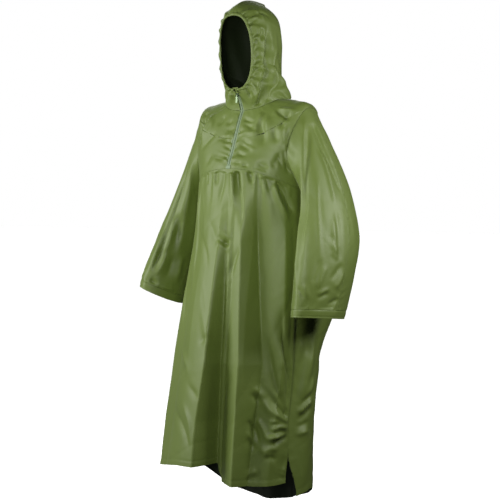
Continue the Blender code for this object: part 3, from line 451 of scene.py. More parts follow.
        (6, 10, 14, 0.2, 0.3, [(85, 0.12), (115, 1.42), (134, 2.82), (151, 4.08)]),
        (-6, 8, 10, 0.3, 0.3, [(97, 2.52), (105, 3.34), (106, 4.16)]),
        (5, 8, 10, 0.3, 0.3, [(84, 2.94), (94, 3.72), (97, 4.68)]),
    ],
    "hood_right": [
        (-4.8, 5, 6, 0.1, 0.4, [(0.785, 0), (0.7, 0.04), (0.603, 0.025)]),
        (-4.8, 6, 7, 0.1, 0.4, [(0.113, 0.31), (0.11, 0.605), (0.098, 0.795)]),
        (4.8, 6, 7, 0.1, 0.4, [(0.052, 0.26), (0.052, 0.535), (0.055, 0.795)]),
        (-5, 4, 5, 0.1, 0.3, [(0.04, 0.1), (0.022, 0.37), (0.015, 0.71)]),
    ],
    "sleeve_left": [
        (6.5, 6, 14, 0.1, 0.2, [(23, 0.12), (63, 0.84), (106, 1.84), (105, 3.3), (101, 4.54)]),
        (-4, 5, 8, 0.2, 0.3, [(24, 0.42), (52, 1.02), (83, 1.72), (92, 2.78), (86, 3.66)]),
        (-6, 4, 12, 0.1, 0.2, [(13, 0.44), (15, 1), (13, 1.4), (9, 1.8), (6, 2.22)]),
        (5, 8, 4, 0.2, 0.2, [(30, 1.12), (27, 1.56), (27, 1.96), (25, 2.4)]),
        (-5, 4, 10, 0.2, 0.2, [(23, 2.4), (22, 2.8), (19, 3.26), (13, 3.7)]),
        (5, 6, 6, 0.2, 0.3, [(30, 2.56), (30, 2.96), (27, 3.4), (21, 3.88)]),
        (-3.5, 4, 5, 0.3, 0.3, [(38, 2.96), (31, 3.1), (24, 3.24)]),
        (3.5, 4, 5, 0.3, 0.3, [(38, 3.14), (29, 3.32), (20, 3.44)]),
        (-3.5, 4, 5, 0.3, 0.3, [(33, 3.46), (25, 3.62), (17, 3.7)]),
        (4, 5, 8, 0.3, 0.3, [(48, 1.5), (58, 2.16), (54, 3.02), (47, 3.7)]),
        (-4, 5, 9, 0.3, 0.3, [(48, 3.54), (52, 3.94), (56, 4.34)]),
        (4, 5, 7, 0.3, 0.3, [(37, 3.72), (43, 4.1), (48, 4.5)]),
        (-5, 5, 8, 0.3, 0.3, [(9, 3.7), (18, 3.98), (26, 4.22)]),
        (5, 5, 6, 0.3, 0.3, [(1, 3.86), (9, 4.2), (17, 4.44)]),
        (-4, 4, 5, 0.3, 0.3, [(45, 4.8), (36, 4.64), (25, 4.58)]),
        (4, 4, 5, 0.3, 0.3, [(48, 4.64), (37, 4.5), (24, 4.42)]),
        (-4, 4, 5, 0.3, 0.3, [(26, 5), (13, 4.84), (-2, 4.74)]),
        (-3, 4, 6, 0.4, 0.4, [(95, 4.3), (79, 4.54), (68, 4.84)]),
        (3, 5, 7, 0.4, 0.4, [(73, 4.22), (68, 4.48), (58, 4.84)]),
    ],
    "hood_left": [
        (-13, 10, 6, 0.25, 0.05, [(0.787, 0.31), (0.665, 0.28), (0.54, 0.245), (0.443, 0.215),
                                  (0.283, 0.29), (0.118, 0.59), (0.058, 0.945)]),
        (6, 8, 8, 0.3, 0.1, [(0.775, 0.43), (0.635, 0.42), (0.448, 0.34), (0.198, 0.605),
                             (0.118, 0.95)]),
        (-6, 3, 5, 0.2, 0.2, [(0.705, 0.21), (0.64, 0.19), (0.578, 0.16)]),
        (4, 4, 4, 0.3, 0.3, [(0.715, 0.16), (0.642, 0.145), (0.552, 0.11)]),
        (-4, 3, 4, 0.1, 0.4, [(0.593, 0.015), (0.605, 0.06), (0.665, 0.125)]),
        (-4.5, 3, 4, 0.1, 0.4, [(0.542, 0.005), (0.575, 0.07), (0.598, 0.115)]),
        (-4, 3, 4, 0.1, 0.4, [(0.495, 0.01), (0.508, 0.06), (0.565, 0.13)]),
        (-5, 3, 4, 0.1, 0.4, [(0.45, 0.005), (0.48, 0.06), (0.52, 0.13)]),
        (-4, 3, 4, 0.1, 0.4, [(0.39, 0.005), (0.41, 0.055), (0.48, 0.12)]),
        (-5, 3, 4, 0.1, 0.4, [(0.3, 0.015), (0.355, 0.055), (0.42, 0.115)]),
        (-4, 3, 4, 0.1, 0.4, [(0.205, 0.065), (0.295, 0.09), (0.367, 0.12)]),
        (-5, 4, 5, 0.1, 0.3, [(0.11, 0.075), (0.095, 0.285), (0.055, 0.605)]),
        (4, 4, 4, 0.2, 0.3, [(0.16, 0.14), (0.115, 0.355), (0.07, 0.64)]),
        (-4, 3, 4, 0.2, 0.3, [(0.235, 0.11), (0.175, 0.32), (0.09, 0.6)]),
        (-4, 3, 4, 0.1, 0.4, [(0.99, 0), (0.973, 0.045), (0.958, 0.15)]),
        (-5, 3, 4, 0.1, 0.4, [(0.87, 0), (0.888, 0.06), (0.893, 0.165)]),
        (-4, 3, 4, 0.1, 0.4, [(0.772, 0.005), (0.805, 0.075), (0.845, 0.2)]),
        (-5, 3, 4, 0.1, 0.4, [(0.708, 0.015), (0.768, 0.1), (0.792, 0.215)]),
        (4, 4, 5, 0.3, 0.4, [(0.91, 0.235), (0.853, 0.27), (0.77, 0.28)]),
        (-4, 4, 5, 0.3, 0.3, [(0.845, 0.2), (0.865, 0.34), (0.818, 0.395)]),
    ],
}
# Creases that are not seen from the front left: over the back and on the hood's far side.
BACK_CREASES = [
    (-7, 14, 18, 0.3, 0.4, [(150, 2.6), (158, 4.0), (162, 5.4)]),
    (6, 16, 14, 0.4, 0.4, [(166, 1.8), (170, 3.2), (168, 4.8)]),
    (-6, 12, 16, 0.3, 0.4, [(190, 1.6), (194, 3.0), (192, 4.6)]),
    (6, 14, 14, 0.4, 0.4, [(204, 2.4), (206, 4.0), (202, 5.6)]),
    (-7, 16, 12, 0.3, 0.4, [(222, 2.8), (216, 4.2), (212, 5.8)]),
    (-5, 14, 20, 0.4, 0.3, [(168, 5.2), (165, 6.6), (164, 8.4)]),
    (5, 18, 16, 0.4, 0.3, [(178, 5.6), (180, 7.0), (181, 8.6)]),
    (-5, 18, 14, 0.4, 0.3, [(198, 5.0), (200, 6.6), (201, 8.4)]),
    (-4, 9, 9, 0.3, 0.5, [(128, 3.6), (136, 4.0), (146, 4.3)]),
    (-4, 9, 9, 0.3, 0.5, [(-128, 3.6), (-136, 4.0), (-146, 4.3)]),
    (4, 9, 9, 0.3, 0.5, [(130, 3.3), (140, 3.6), (152, 3.8)]),
    (4, 9, 9, 0.3, 0.5, [(-130, 3.3), (-140, 3.6), (-152, 3.8)]),
    (-4, 10, 12, 0.4, 0.4, [(110, 6.4), (116, 7.2), (118, 8.0)]),
    (-4, 10, 12, 0.4, 0.4, [(-104, 6.2), (-110, 7.0), (-112, 8.0)]),
    (4, 9, 10, 0.4, 0.4, [(-96, 7.6), (-104, 7.9), (-114, 8.0)]),
    (-3, 8, 9, 0.3, 0.5, [(135, 0.4), (140, 1.0), (142, 1.8)]),
    (-3, 8, 9, 0.3, 0.5, [(-135, 0.4), (-140, 1.0), (-142, 1.8)]),
    (3, 8, 9, 0.3, 0.5, [(150, 0.3), (152, 0.9), (150, 1.6)]),
]
HOOD_CREASES = [
    (-3, 8, 10, 0.3, 0.3, [(0.50, 0.97), (0.60, 0.80), (0.68, 0.62)]),
    (3, 10, 9, 0.3, 0.3, [(0.56, 0.99), (0.66, 0.84), (0.76, 0.66)]),
]


def casing_end(share):
    """How far along the hood the casing reaches at this share of the rim."""
    return CASING / np.linalg.norm(hood_at(share, 1) - hood_at(share, 0), axis=-1)


def seam_angle(row):
    """Where the side seam runs: from the underarm it drifts forward as it goes down."""
    return 90 + (SIDE_SEAM_ANGLE - 90) * smooth((row - YOKE_ROW) / 4)


def vent(row):
    """How many degrees the open foot of a side seam has spread."""
    return VENT_SPREAD * smooth((row - VENT_ROW) / (HEM_ROW - VENT_ROW))


def band_start(rings):
    """Where the cuff band begins, in rings along the sleeve."""
    return len(rings) - CUFF_BAND / math.dist(rings[-1][:3], rings[-2][:3])


# ---------------------------------------------------------------- creases and puckers
EDGES = ("top", "foot", "first", "last")        # a grid's first and last rows and columns
TINY = 1e-12
CREASE_SPREAD, CREASE_ROUND, CREASE_POWER = 2.2, 0.04, 1.8    # flank width, blunt edge, hollow
STEPS_A_PLACE, LEAST_FADE = 7, 0.02
NOISE_STEP = 0.001
WAVE_KNOTS = 64
PATCH_SIZE = (0.12, 0.16)


def unit(vectors):
    return vectors / np.maximum(np.linalg.norm(vectors, axis=-1, keepdims=True), TINY)


def run_along(line):
    """How far each point of a line is from its first, along the line."""
    return np.concatenate([[0], np.cumsum(np.linalg.norm(np.diff(line, axis=0), axis=1))])


def normals_of(points, middle, closed=False):
    """The normals of a grid of points, pointing away from middle."""
    wide = np.concatenate([points[:, -2:], points, points[:, :2]], axis=1) if closed else points
    down, across = np.gradient(wide, axis=0), np.gradient(wide, axis=1)
    cross = np.cross(down, across)
    opened = np.linalg.norm(cross, axis=-1) / np.maximum(
        np.linalg.norm(down, axis=-1) * np.linalg.norm(across, axis=-1), TINY)
    n = unit(cross)
    if closed:
        n, opened = n[:, 2:-2], opened[:, 2:-2]
    away = points - middle
    if (n * away).sum(-1).mean() < 0:
        n = -n
    # Where the grid's two directions run together, as at the crown's seam, they give no normal.
    trust = smooth((opened - 0.10) / 0.25)[..., None]
    return unit(trust * n + (1 - trust) * unit(away))


def crease_heights(points, normals, creases, surface, scale):
    """The height that listed creases give a grid of points.

    A crease is (height in mm, half width in mm on its left and on its right, the shares of its
    length over which it fades in and out, its places). surface turns places into points.
    """
    total = np.zeros(points.shape[:2])
    for height, left, right, fade_in, fade_out, places in creases:
        steps = np.linspace(0, len(places) - 1, STEPS_A_PLACE * (len(places) - 1) + 1)
        line = surface(through(np.array(places, float), steps))
        reach = CREASE_SPREAD * max(left, right) / 1000
        low, high = line.min(0) - reach, line.max(0) + reach
        near = np.nonzero(((points > low) & (points < high)).all(-1))
        if not len(near[0]):
            continue
        p, n = points[near], normals[near]
        run = line[1:] - line[:-1]
        along = ((p[:, None] - line[:-1]) * run).sum(-1) / (run ** 2).sum(-1)
        foot = line[:-1] + np.clip(along, 0, 1)[..., None] * run
        apart = np.linalg.norm(p[:, None] - foot, axis=-1)
        k = apart.argmin(1)
        pick = np.arange(len(k))
        side = (np.cross(unit(run[k]), p - foot[pick, k]) * n).sum(-1)
        share = (k + np.clip(along[pick, k], 0, 1)) / len(run)
        slope = apart[pick, k] / (np.where(side > 0, left, right) * CREASE_SPREAD / 1000)
        blunt = np.hypot(slope, CREASE_ROUND) - CREASE_ROUND
        profile = np.clip(1 - blunt, 0, 1) ** CREASE_POWER
        fade = (smooth(share / max(fade_in, LEAST_FADE))
                * smooth((1 - share) / max(fade_out, LEAST_FADE)))
        total[near] += height / 1000 * scale * profile * fade
    return softened(total)


def softened(heights):
    """Heights averaged a little with their neighbours, so that no fold is sharper than the grid."""
    wide = np.pad(heights, 1, mode="edge")
    wide = (wide[:-2] + 2 * wide[1:-1] + wide[2:]) / 4
    return (wide[:, :-2] + 2 * wide[:, 1:-1] + wide[:, 2:]) / 4


def wave_noise(length, period, rng):
    """A smooth random line of this many samples, from -1 to 1, with humps about a period long."""
    knots = rng.uniform(-1, 1, max(4, int(length / period) + 4))
    return through(knots[:, None], np.linspace(0.5, len(knots) - 1.5, length))[:, 0]


def pucker_heights(points, rng, edge, height, period, reach, slant=0.0):
    """Short sharp ripples that run away from a sewn edge of a grid, leaning over by slant."""
    away = edge_distance(points, edge)
    at = run_along(from_edge(points, edge)[0])
    count = max(8, int(at[-1] / NOISE_STEP))
    fine = np.linspace(0, at[-1], count)
    places = (at if edge in ("top", "foot") else at[:, None]) + 0 * away + slant * away

    def wave(middle, swing, long):
        return middle + swing * wave_noise(count, long / NOISE_STEP, rng)

    ripple = np.interp(places, fine, 0.9 - 2.4 * np.abs(wave(0, 1, period)))
    strength = np.interp(places, fine, wave(0.6, 0.5, 5 * period))
    long = np.interp(places, fine, wave(1, 0.7, 1.5 * period))
    return height * ripple * strength * np.exp(-(away / (reach * long)) ** 1.3)


def from_edge(points, edge):
    """A grid turned so that this edge is its first row."""
    grid = points if edge in ("top", "foot") else points.swapaxes(0, 1)
    return grid[::-1] if edge in ("foot", "last") else grid


def edge_distance(points, edge):
    """How far each point of a grid is from one of its edges, along the grid's lines."""
    grid = from_edge(points, edge)
    away = np.cumsum(np.linalg.norm(np.diff(grid, axis=0, prepend=grid[:1]), axis=-1), axis=0)
    if edge in ("foot", "last"):
        away = away[::-1]
    return away if edge in ("top", "foot") else away.T


def wrinkles(across, down, size, turn, seed):
    """Sharp ridges that run and branch over smooth hollows, as thin stiff cloth creases.

    The ridges lie where slow random waves cross zero; they run longest along size's longer side."""
    rng = np.random.default_rng(seed)
    heights = rng.uniform(-1, 1, (WAVE_KNOTS, WAVE_KNOTS))
    phase = rng.uniform(0, 6.3, 4)
    c, s = math.cos(turn), math.sin(turn)
    x, y = (across * c + down * s) / size[0], (down * c - across * s) / size[1]
    x, y = (x + 0.35 * np.sin(1.1 * y + phase[0]) + 0.2 * np.sin(2.3 * x + 1.3 * y + phase[1]),
            y + 0.35 * np.sin(0.9 * x + phase[2]) + 0.2 * np.sin(1.9 * y - 1.1 * x + phase[3]))
    i, j = np.floor(x).astype(int), np.floor(y).astype(int)
    u, v = smooth(x - i), smooth(y - j)

    def row(k):
        return (heights[i % WAVE_KNOTS, k % WAVE_KNOTS] * (1 - u)
                + heights[(i + 1) % WAVE_KNOTS, k % WAVE_KNOTS] * u)

    return 1 - 2.4 * np.abs(row(j) * (1 - v) + row(j + 1) * v) ** 0.9


def crumple(places, points, height, seed, turn, size):
    """Ridges and valleys over a grid, large and small, stronger in some patches than in others.

    places are metres across and down the cloth, so that they don't follow the grid."""
    def ridges(size, turned_by, number):
        return wrinkles(*places, size, turned_by, seed + number)

    small = (size[0] * 0.45, size[1] * 0.45)
    out = ridges(size, turn, 0) - 0.8 * ridges(size, turn + 0.5, 1)
    patch = ridges(PATCH_SIZE, 0.3, 2)
    out += 0.4 * ridges(small, turn - 0.4, 3) * smooth(0.5 - patch)
    out -= 0.4 * ridges(small, turn + 0.9, 4) * smooth(0.5 + patch)
    edge = np.min([edge_distance(points, side) for side in EDGES], axis=0)
    return height * out * (0.12 + 0.88 * smooth(edge / 0.03))


# ---------------------------------------------------------------- meshes
SEWN_REACH = 0.010
ROLL_DEPTH, RIM_DEPTH, ROLL_LIP = 0.0035, 0.0006, 0.0007
LINES = {}      # sewn lines on the finished cloth, for the stitching: name -> (points, normals)


def run_places(points):
    """Metres along a grid's rows from its middle column, and down its columns."""
    across = np.cumsum(np.linalg.norm(np.diff(points, axis=1, prepend=points[:, :1]), axis=-1), 1)
    down = np.cumsum(np.linalg.norm(np.diff(points, axis=0, prepend=points[:1]), axis=-1), 0)
    return across - across[:, points.shape[1] // 2][:, None], down.mean(1)[:, None] + 0 * across


def shell(name, outer, normals, thickness, closed=False):
    """A closed thin shell over a grid of outer points, with a flat map in metres named 'cloth'."""
    rows, columns = outer.shape[:2]
    points = np.concatenate([outer.reshape(-1, 3), (outer - normals * thickness).reshape(-1, 3)])
    back = rows * columns
    c = np.arange(columns if closed else columns - 1)
    r = np.arange(rows - 1) * columns
    a, b = (r[:, None] + c).ravel(), (r[:, None] + (c + 1) % columns).ravel()
    outside = np.stack([a, a + columns, b + columns, b], 1)
    parts = [outside, (outside + back)[:, ::-1]]
    after, foot = (c + 1) % columns, (rows - 1) * columns
    rims = [(c, after), (foot + after, foot + c)]
    if not closed:
        rims += [(r + columns, r), (r + columns - 1, r + 2 * columns - 1)]
    parts += [np.stack([start, end, end + back, start + back], 1) for start, end in rims]
    faces = np.concatenate(parts)
    inside = np.zeros(len(faces), np.int32)
    inside[len(outside):2 * len(outside)] = 1
    if np.cross(outer[1, 1] - outer[0, 1], outer[0, 2] - outer[0, 1]) @ normals[0, 1] < 0:
        faces = faces[:, ::-1]
    mesh = bpy.data.meshes.new(name)
    mesh.vertices.add(len(points))
    mesh.vertices.foreach_set("co", points.astype(np.float32).ravel())
    mesh.loops.add(faces.size)
    mesh.loops.foreach_set("vertex_index", faces.astype(np.int32).ravel())
    mesh.polygons.add(len(faces))
    mesh.polygons.foreach_set("loop_start", np.arange(0, faces.size, 4, dtype=np.int32))
    mesh.polygons.foreach_set("material_index", inside)
    mesh.update(calc_edges=True)
    mesh.validate()
    flat = np.stack(run_places(outer), -1).reshape(-1, 2)
    flat = np.concatenate([flat, flat])
    order = np.zeros(len(mesh.loops), np.int32)
    mesh.loops.foreach_get("vertex_index", order)
    layer = mesh.uv_layers.new(name="cloth")
    layer.data.foreach_set("uv", flat[order].astype(np.float32).ravel())
    mesh.shade_smooth()
    return mesh


def mesh_of(name, verts, faces):
    mesh = bpy.data.meshes.new(name)
    mesh.from_pydata([tuple(v) for v in verts], [], faces)
    return mesh


def add_piece(name, mesh, finishes):
    for finish in finishes:
        mesh.materials.append(finish)
    piece = bpy.data.objects.new(name, mesh)
    bpy.context.scene.collection.objects.link(piece)
    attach(piece, "poncho")
    return piece


def round_edges(piece, width):
    bevel = piece.modifiers.new("rounded", "BEVEL")
    bevel.width, bevel.segments, bevel.limit_method = width, 2, "NONE"


def sewn(points, edges):
    """0 on a grid's sewn edges, where the cloth is held, and 1 from a reach away from them."""
    held = np.ones(points.shape[:2])
    for edge in edges:
        held *= smooth(edge_distance(points, edge) / SEWN_REACH)
    return held


def rolled(outer, facing, closed, rim):
    """Turns a grid's edges inwards, the first by rim, with a tight row beside each turn, so that
    seams close."""
    def ends(points, normals, first=ROLL_DEPTH):
        out, into = [], []
        for row, inner, n, deep in ((points[0], points[1], normals[0], first),
                                    (points[-1], points[-2], normals[-1], ROLL_DEPTH)):
            span = np.linalg.norm(inner - row, axis=-1, keepdims=True)
            out.append(row + (inner - row) * np.minimum(ROLL_LIP / np.maximum(span, 1e-6), 0.3))
            into.append(row - n * deep)
        points = np.concatenate([into[0][None], points[:1], out[0][None], points[1:-1],
                                 out[1][None], points[-1:], into[1][None]])
        normals = np.concatenate([normals[:1], normals[:1], normals, normals[-1:], normals[-1:]])
        return points, normals

    outer, facing = ends(outer, facing, rim)
    if not closed:
        outer, facing = (part.swapaxes(0, 1) for part in ends(outer.swapaxes(0, 1),
                                                             facing.swapaxes(0, 1)))
    return outer, facing


def cloth(name, plain, heights, middle, lines, closed=False, rim=ROLL_DEPTH, side=0):
    """A cloth piece in place of the solid of its name: the plain grid raised by its heights.

    lines are the places of its stitching: name -> (edge, distance from it)."""
    settings = bpy.context.scene.poncho_cloth
    normals = normals_of(plain, middle, closed)
    outer = plain + normals * heights[..., None]
    facing = normals_of(outer, middle, closed)
    points, outward = rolled(outer, facing, closed, rim)
    if side:        # a half that is sewn along the middle stays on its own side
        points[..., 0] = side * np.maximum(side * points[..., 0], 0.0001)
    mesh = shell(name, points, outward, settings.thickness, closed)
    piece = add_piece(name, mesh, [nylon(), lining_painted_dark()])
    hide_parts(name)
    for line, (edge, inset) in lines.items():
        away = np.abs(edge_distance(outer, edge) - inset)
        if edge in ("top", "foot"):
            pick = (away.argmin(0), np.arange(outer.shape[1]))
        else:
            pick = (np.arange(outer.shape[0]), away.argmin(1))
        LINES[line] = (outer[pick], facing[pick])


# ---------------------------------------------------------------- materials
def node(tree, kind, inputs=(), **values):
    """Adds a node, sets its own values and links or fills its inputs, given by name or number."""
    made = tree.nodes.new(kind)
    for key, value in values.items():
        setattr(made, key, value)
    for key, value in dict(inputs).items():
        if isinstance(value, bpy.types.NodeSocket):
            tree.links.new(value, made.inputs[key])
        else:
            made.inputs[key].default_value = value
    return made


def math_node(tree, operation, a, b=0.0, c=0.0):
    return node(tree, "ShaderNodeMath", {0: a, 1: b, 2: c}, operation=operation).outputs[0]


def ranged(tree, value, low=0.0, high=1.0, start=0.0, end=1.0, **values):
    """A value from low to high while the one it follows goes from start to end."""
    return node(tree, "ShaderNodeMapRange", {"Value": value, "From Min": start, "From Max": end,
                                             "To Min": low, "To Max": high}, **values).outputs[0]


def own_place(tree):
    return node(tree, "ShaderNodeTexCoord").outputs["Object"]


def grain(tree, scale, detail=2.0, **more):
    """Noise over the surface, from 0 to 1."""
    return node(tree, "ShaderNodeTexNoise", {"Vector": own_place(tree), "Scale": scale,
                                             "Detail": detail, **more}).outputs[0]


def relief(tree, height, strength, distance, **normal):
    return node(tree, "ShaderNodeBump", {"Height": height, "Strength": strength,
                                         "Distance": distance, **normal}).outputs[0]


def shaded(tree, tone, dark, light):
    """A colour between two, by a tone that varies over the surface."""
    ramp = node(tree, "ShaderNodeValToRGB", {0: tone})
    for stop, place, colour in zip(ramp.color_ramp.elements, (0.3, 0.7), (dark, light)):
        stop.position, stop.color = place, (*colour, 1)
    return ramp.outputs[0]


def dimmed(colour, share):
    return [share * c for c in colour]


def group(name, inputs, outputs):
    """A shader node group with its sockets, its own input and output nodes ready."""
    tree = bpy.data.node_groups.new(name, "ShaderNodeTree")
    for label, value in inputs:
        socket = tree.interface.new_socket(label, in_out="INPUT", socket_type="NodeSocketFloat")
        socket.default_value = value
    for label in outputs:
        tree.interface.new_socket(label, in_out="OUTPUT", socket_type="NodeSocketFloat")
    return tree, tree.nodes.new("NodeGroupInput"), tree.nodes.new("NodeGroupOutput")


def weave_group():
    """Threads over and under each other, from the flat map: Height, and Tone between threads."""
    made = bpy.data.node_groups.get("plain weave")
    if made:
        return made
    tree, ins, outs = group("plain weave", [("Threads per metre", 1400.0)], ["Height", "Tone"])
    flat = node(tree, "ShaderNodeUVMap", uv_map="cloth").outputs[0]
    split = node(tree, "ShaderNodeSeparateXYZ", {0: flat})
    turn = math_node(tree, "MULTIPLY", ins.outputs[0], math.pi)
    u, v = (math_node(tree, "MULTIPLY", split.outputs[k], turn) for k in (0, 1))
    warp, weft = (math_node(tree, "ABSOLUTE", math_node(tree, "SINE", w)) for w in (u, v))
    over = math_node(tree, "MULTIPLY", math_node(tree, "COSINE", u), math_node(tree, "COSINE", v))
    mix = math_node(tree, "MULTIPLY_ADD", over, 0.5, 0.5)
    low = math_node(tree, "MULTIPLY", weft, math_node(tree, "SUBTRACT", 1.0, mix))
    tree.links.new(math_node(tree, "MULTIPLY_ADD", warp, mix, low), outs.inputs["Height"])
    tree.links.new(mix, outs.inputs["Tone"])
    return tree


def crinkle_group():
    """Fine creases and soft dents of thin coated cloth: Height and a patchy Tone."""
    made = bpy.data.node_groups.get("crinkled cloth")
    if made:
        return made
    tree, ins, outs = group("crinkled cloth", [("Size", 0.02)], ["Height", "Tone"])
    place = own_place(tree)
    scale = math_node(tree, "DIVIDE", 1.0, ins.outputs[0])
    bend = node(tree, "ShaderNodeTexNoise", {"Vector": place, "Scale": 18.0, "Detail": 2.0})
    bent = node(tree, "ShaderNodeVectorMath", {0: bend.outputs["Color"], 1: (0.03, 0.03, 0.03)},
                operation="MULTIPLY")
    moved = node(tree, "ShaderNodeVectorMath", {0: place, 1: bent.outputs[0]}, operation="ADD")
    cells = node(tree, "ShaderNodeTexVoronoi", {"Vector": moved.outputs[0], "Scale": scale},
                 feature="SMOOTH_F1")
    cells.inputs["Smoothness"].default_value = 0.35
    patch = grain(tree, 5.0)
    where = ranged(tree, patch, start=0.42, end=0.68)
    creased = math_node(tree, "MULTIPLY", cells.outputs["Distance"], where)
    dents = grain(tree, scale, 4.0, Roughness=0.55)
    tree.links.new(math_node(tree, "MULTIPLY_ADD", dents, 0.7, creased), outs.inputs["Height"])
    tree.links.new(patch, outs.inputs["Tone"])
    return tree


def principled(name, roughness):
    made = bpy.data.materials.new(name)
    made.use_nodes = True
    shader = made.node_tree.nodes["Principled BSDF"]
    shader.inputs["Roughness"].default_value = roughness
    return made, made.node_tree, shader


def finish(label, roughness):
    """Turns a function that fills in a material's nodes into one that gives the material."""
    def wrap(fill):
        def give():
            made = bpy.data.materials.get(label)
            if made is None:
                made, tree, shader = principled(label, roughness)
                fill(tree, shader, bpy.context.scene.poncho_colours)
            return made
        return give
    return wrap


@finish("olive coated nylon", 0.42)
def nylon(tree, shader, colours):
    crinkle = node(tree, "ShaderNodeGroup", {"Size": 0.016}, node_tree=crinkle_group())
    weave = node(tree, "ShaderNodeGroup", node_tree=weave_group())
    tone = crinkle.outputs["Tone"]
    dents = relief(tree, crinkle.outputs["Height"], 0.3, 0.0012)
    threads = relief(tree, weave.outputs["Height"], 0.25, 0.00008, Normal=dents)
    colour = shaded(tree, tone, colours.nylon_deep, colours.nylon)
    tree.links.new(colour, shader.inputs["Base Color"])
    tree.links.new(ranged(tree, tone, 0.50, 0.58), shader.inputs["Roughness"])
    tree.links.new(threads, shader.inputs["Normal"])
    shader.inputs["Specular IOR Level"].default_value = 0.65
    shader.inputs["Sheen Weight"].default_value = 0.15
    shader.inputs["Sheen Roughness"].default_value = 0.35
    shader.inputs["Sheen Tint"].default_value = (0.75, 0.85, 0.55, 1)


# The inside faces of every shell: the reverse side's own olive, darkened almost to black as painted
# shade so that the hood's inside looks dark.
@finish("olive coated nylon, reverse side", 0.6)
def lining_painted_dark(tree, shader, colours):
    crinkle = node(tree, "ShaderNodeGroup", {"Size": 0.02}, node_tree=crinkle_group())
    colour = shaded(tree, crinkle.outputs["Tone"], dimmed(colours.reverse, 0.6), colours.reverse)
    dents = relief(tree, crinkle.outputs["Height"], 0.3, 0.001)
    tree.links.new(colour, shader.inputs["Base Color"])
    tree.links.new(dents, shader.inputs["Normal"])
    shader.inputs["Specular IOR Level"].default_value = 0.3


@finish("woven zip tape", 0.6)
def tape(tree, shader, colours):
    ribs = node(tree, "ShaderNodeTexWave", {"Vector": own_place(tree), "Scale": 260.0,
                                            "Distortion": 0.4}, bands_direction="Z")
    colour = shaded(tree, grain(tree, 900.0), dimmed(colours.zip_tape, 0.8), colours.zip_tape)
    tree.links.new(colour, shader.inputs["Base Color"])
    tree.links.new(relief(tree, ribs.outputs["Fac"], 0.4, 0.0002), shader.inputs["Normal"])


@finish("sewing thread", 0.55)
def thread(tree, shader, colours):
    colour = shaded(tree, grain(tree, 1500.0), dimmed(colours.thread, 0.7), colours.thread)
    tree.links.new(colour, shader.inputs["Base Color"])


def moulded(label, colour, roughness, metallic=0.0):
    """A smooth moulded or lacquered finish, a little worn."""
    made, tree, shader = principled(label, roughness)
    wear = grain(tree, 420.0, 3.0)
    rough = ranged(tree, wear, roughness - 0.08, roughness + 0.1)
    tree.links.new(shaded(tree, wear, dimmed(colour, 0.75), colour), shader.inputs["Base Color"])
    tree.links.new(rough, shader.inputs["Roughness"])
    shader.inputs["Metallic"].default_value = metallic
    return made


def refinish(names, material):
    """Gives solids that show as they are their own finish."""
    for name in names:
        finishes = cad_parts[name].data.materials
        finishes.clear()
        finishes.append(material)


# ---------------------------------------------------------------- panels
# How far in from the edge the stitching runs.
SEAM_STITCH, HEM, CUFF_STITCH, CUFF_LOW_STITCH = 0.004, 0.018, 0.003, 0.005
ROUND_RADIUS, BODY_Y = 0.23, 0.02
# How finely the grids are divided; a yoke or back has its first rows above the armhole.
ARMHOLE_ROWS, YOKE_FIRST_ROWS, YOKE_LAST_ROWS, YOKE_COLUMNS = 50, 30, 4, 72
SKIRT_FIRST_ROWS, SKIRT_ROWS, SKIRT_COLUMNS = 34, 206, 197
BACK_FIRST_ROWS, BACK_ROWS, BACK_COLUMNS = 26, 225, 155
HOOD_ROWS, HOOD_COLUMNS, CASING_ROWS, CASING_COLUMNS = 84, 150, 9, 260
SLEEVE_ROWS, SLEEVE_COLUMNS, CUFF_ROWS, CUFF_STEP = 132, 74, 13, 2.5
# The skirt's rows lie closer together from its top to the foot of its gathers.
SKIRT_TOP, GATHERS_FOOT, SKIRT_EVEN_ROW, SKIRT_VENT = 4.0012, 4.5, 7.6, 0.45
ZIP_SPREAD, ZIP_FLAT = 0.0002, 0.018        # the least spacing of columns; how far it lies flat
HOOD_SPACING, HOOD_PULL, HOOD_CALM = 1.12, 0.5, 0.85
# How each piece is worked: its dents (their share of the full height, the size of one, how far
# they are turned), its puckers (edge, height, period, reach, slant) and its sewn edges.
WORKED = {
    "yoke": ((0.18, (0.05, 0.09), 0.7), [
        ("first", 0.0030, 0.016, 0.022, 0.3), ("foot", 0.0008, 0.012, 0.012),
        ("top", 0.0014, 0.014, 0.016)], ["top", "last", "foot"]),
    "skirt": ((0.5, (0.08, 0.30), 0.0), [
        ("top", 0.0030, 0.020, 0.055), ("first", 0.0022, 0.022, 0.016, 0.4),
        ("last", 0.0026, 0.020, 0.018, 0.4), ("foot", 0.0012, 0.024, 0.020)],
        ["top", "first", "last"]),
    "back": ((0.8, (0.06, 0.16), 0.0), [
        ("first", 0.0022, 0.020, 0.014), ("last", 0.0022, 0.020, 0.014),
        ("foot", 0.0012, 0.018, 0.020), ("top", 0.0014, 0.014, 0.016)],
        ["top", "first", "last"]),
    "hood": ((0.15, (0.08, 0.06), 0.0), [
        ("top", 0.0024, 0.009, 0.026, -0.7), ("foot", 0.0014, 0.014, 0.016)], ["foot", "last"]),
    "sleeve": ((0.3, (0.05, 0.20), 0.0), [
        ("foot", 0.0026, 0.018, 0.028, 0.3), ("top", 0.0014, 0.022, 0.020),
        ("first", 0.0018, 0.020, 0.016, 0.4), ("last", 0.0014, 0.020, 0.014, 0.4)],
        ["top", "foot", "first", "last"]),
}


def rng_for(name):
    return np.random.default_rng(sum(ord(letter) * (k + 3) for k, letter in enumerate(name)))


def round_places(points):
    """Metres round the body's axis and down it."""
    turn = np.arctan2(points[..., 0], -(points[..., 1] - BODY_Y))
    return ROUND_RADIUS * np.unwrap(turn, axis=1), -points[..., 2]


def body_middle(points):
    """The body's own axis beside each point, so that its normals point away from it."""
    return points * (0, 0, 1) + (0, BODY_Y, -0.01)


def of_places(surface):
    """Lets a surface of two values take one array of places."""
    return lambda places: surface(places[:, 0], places[:, 1])


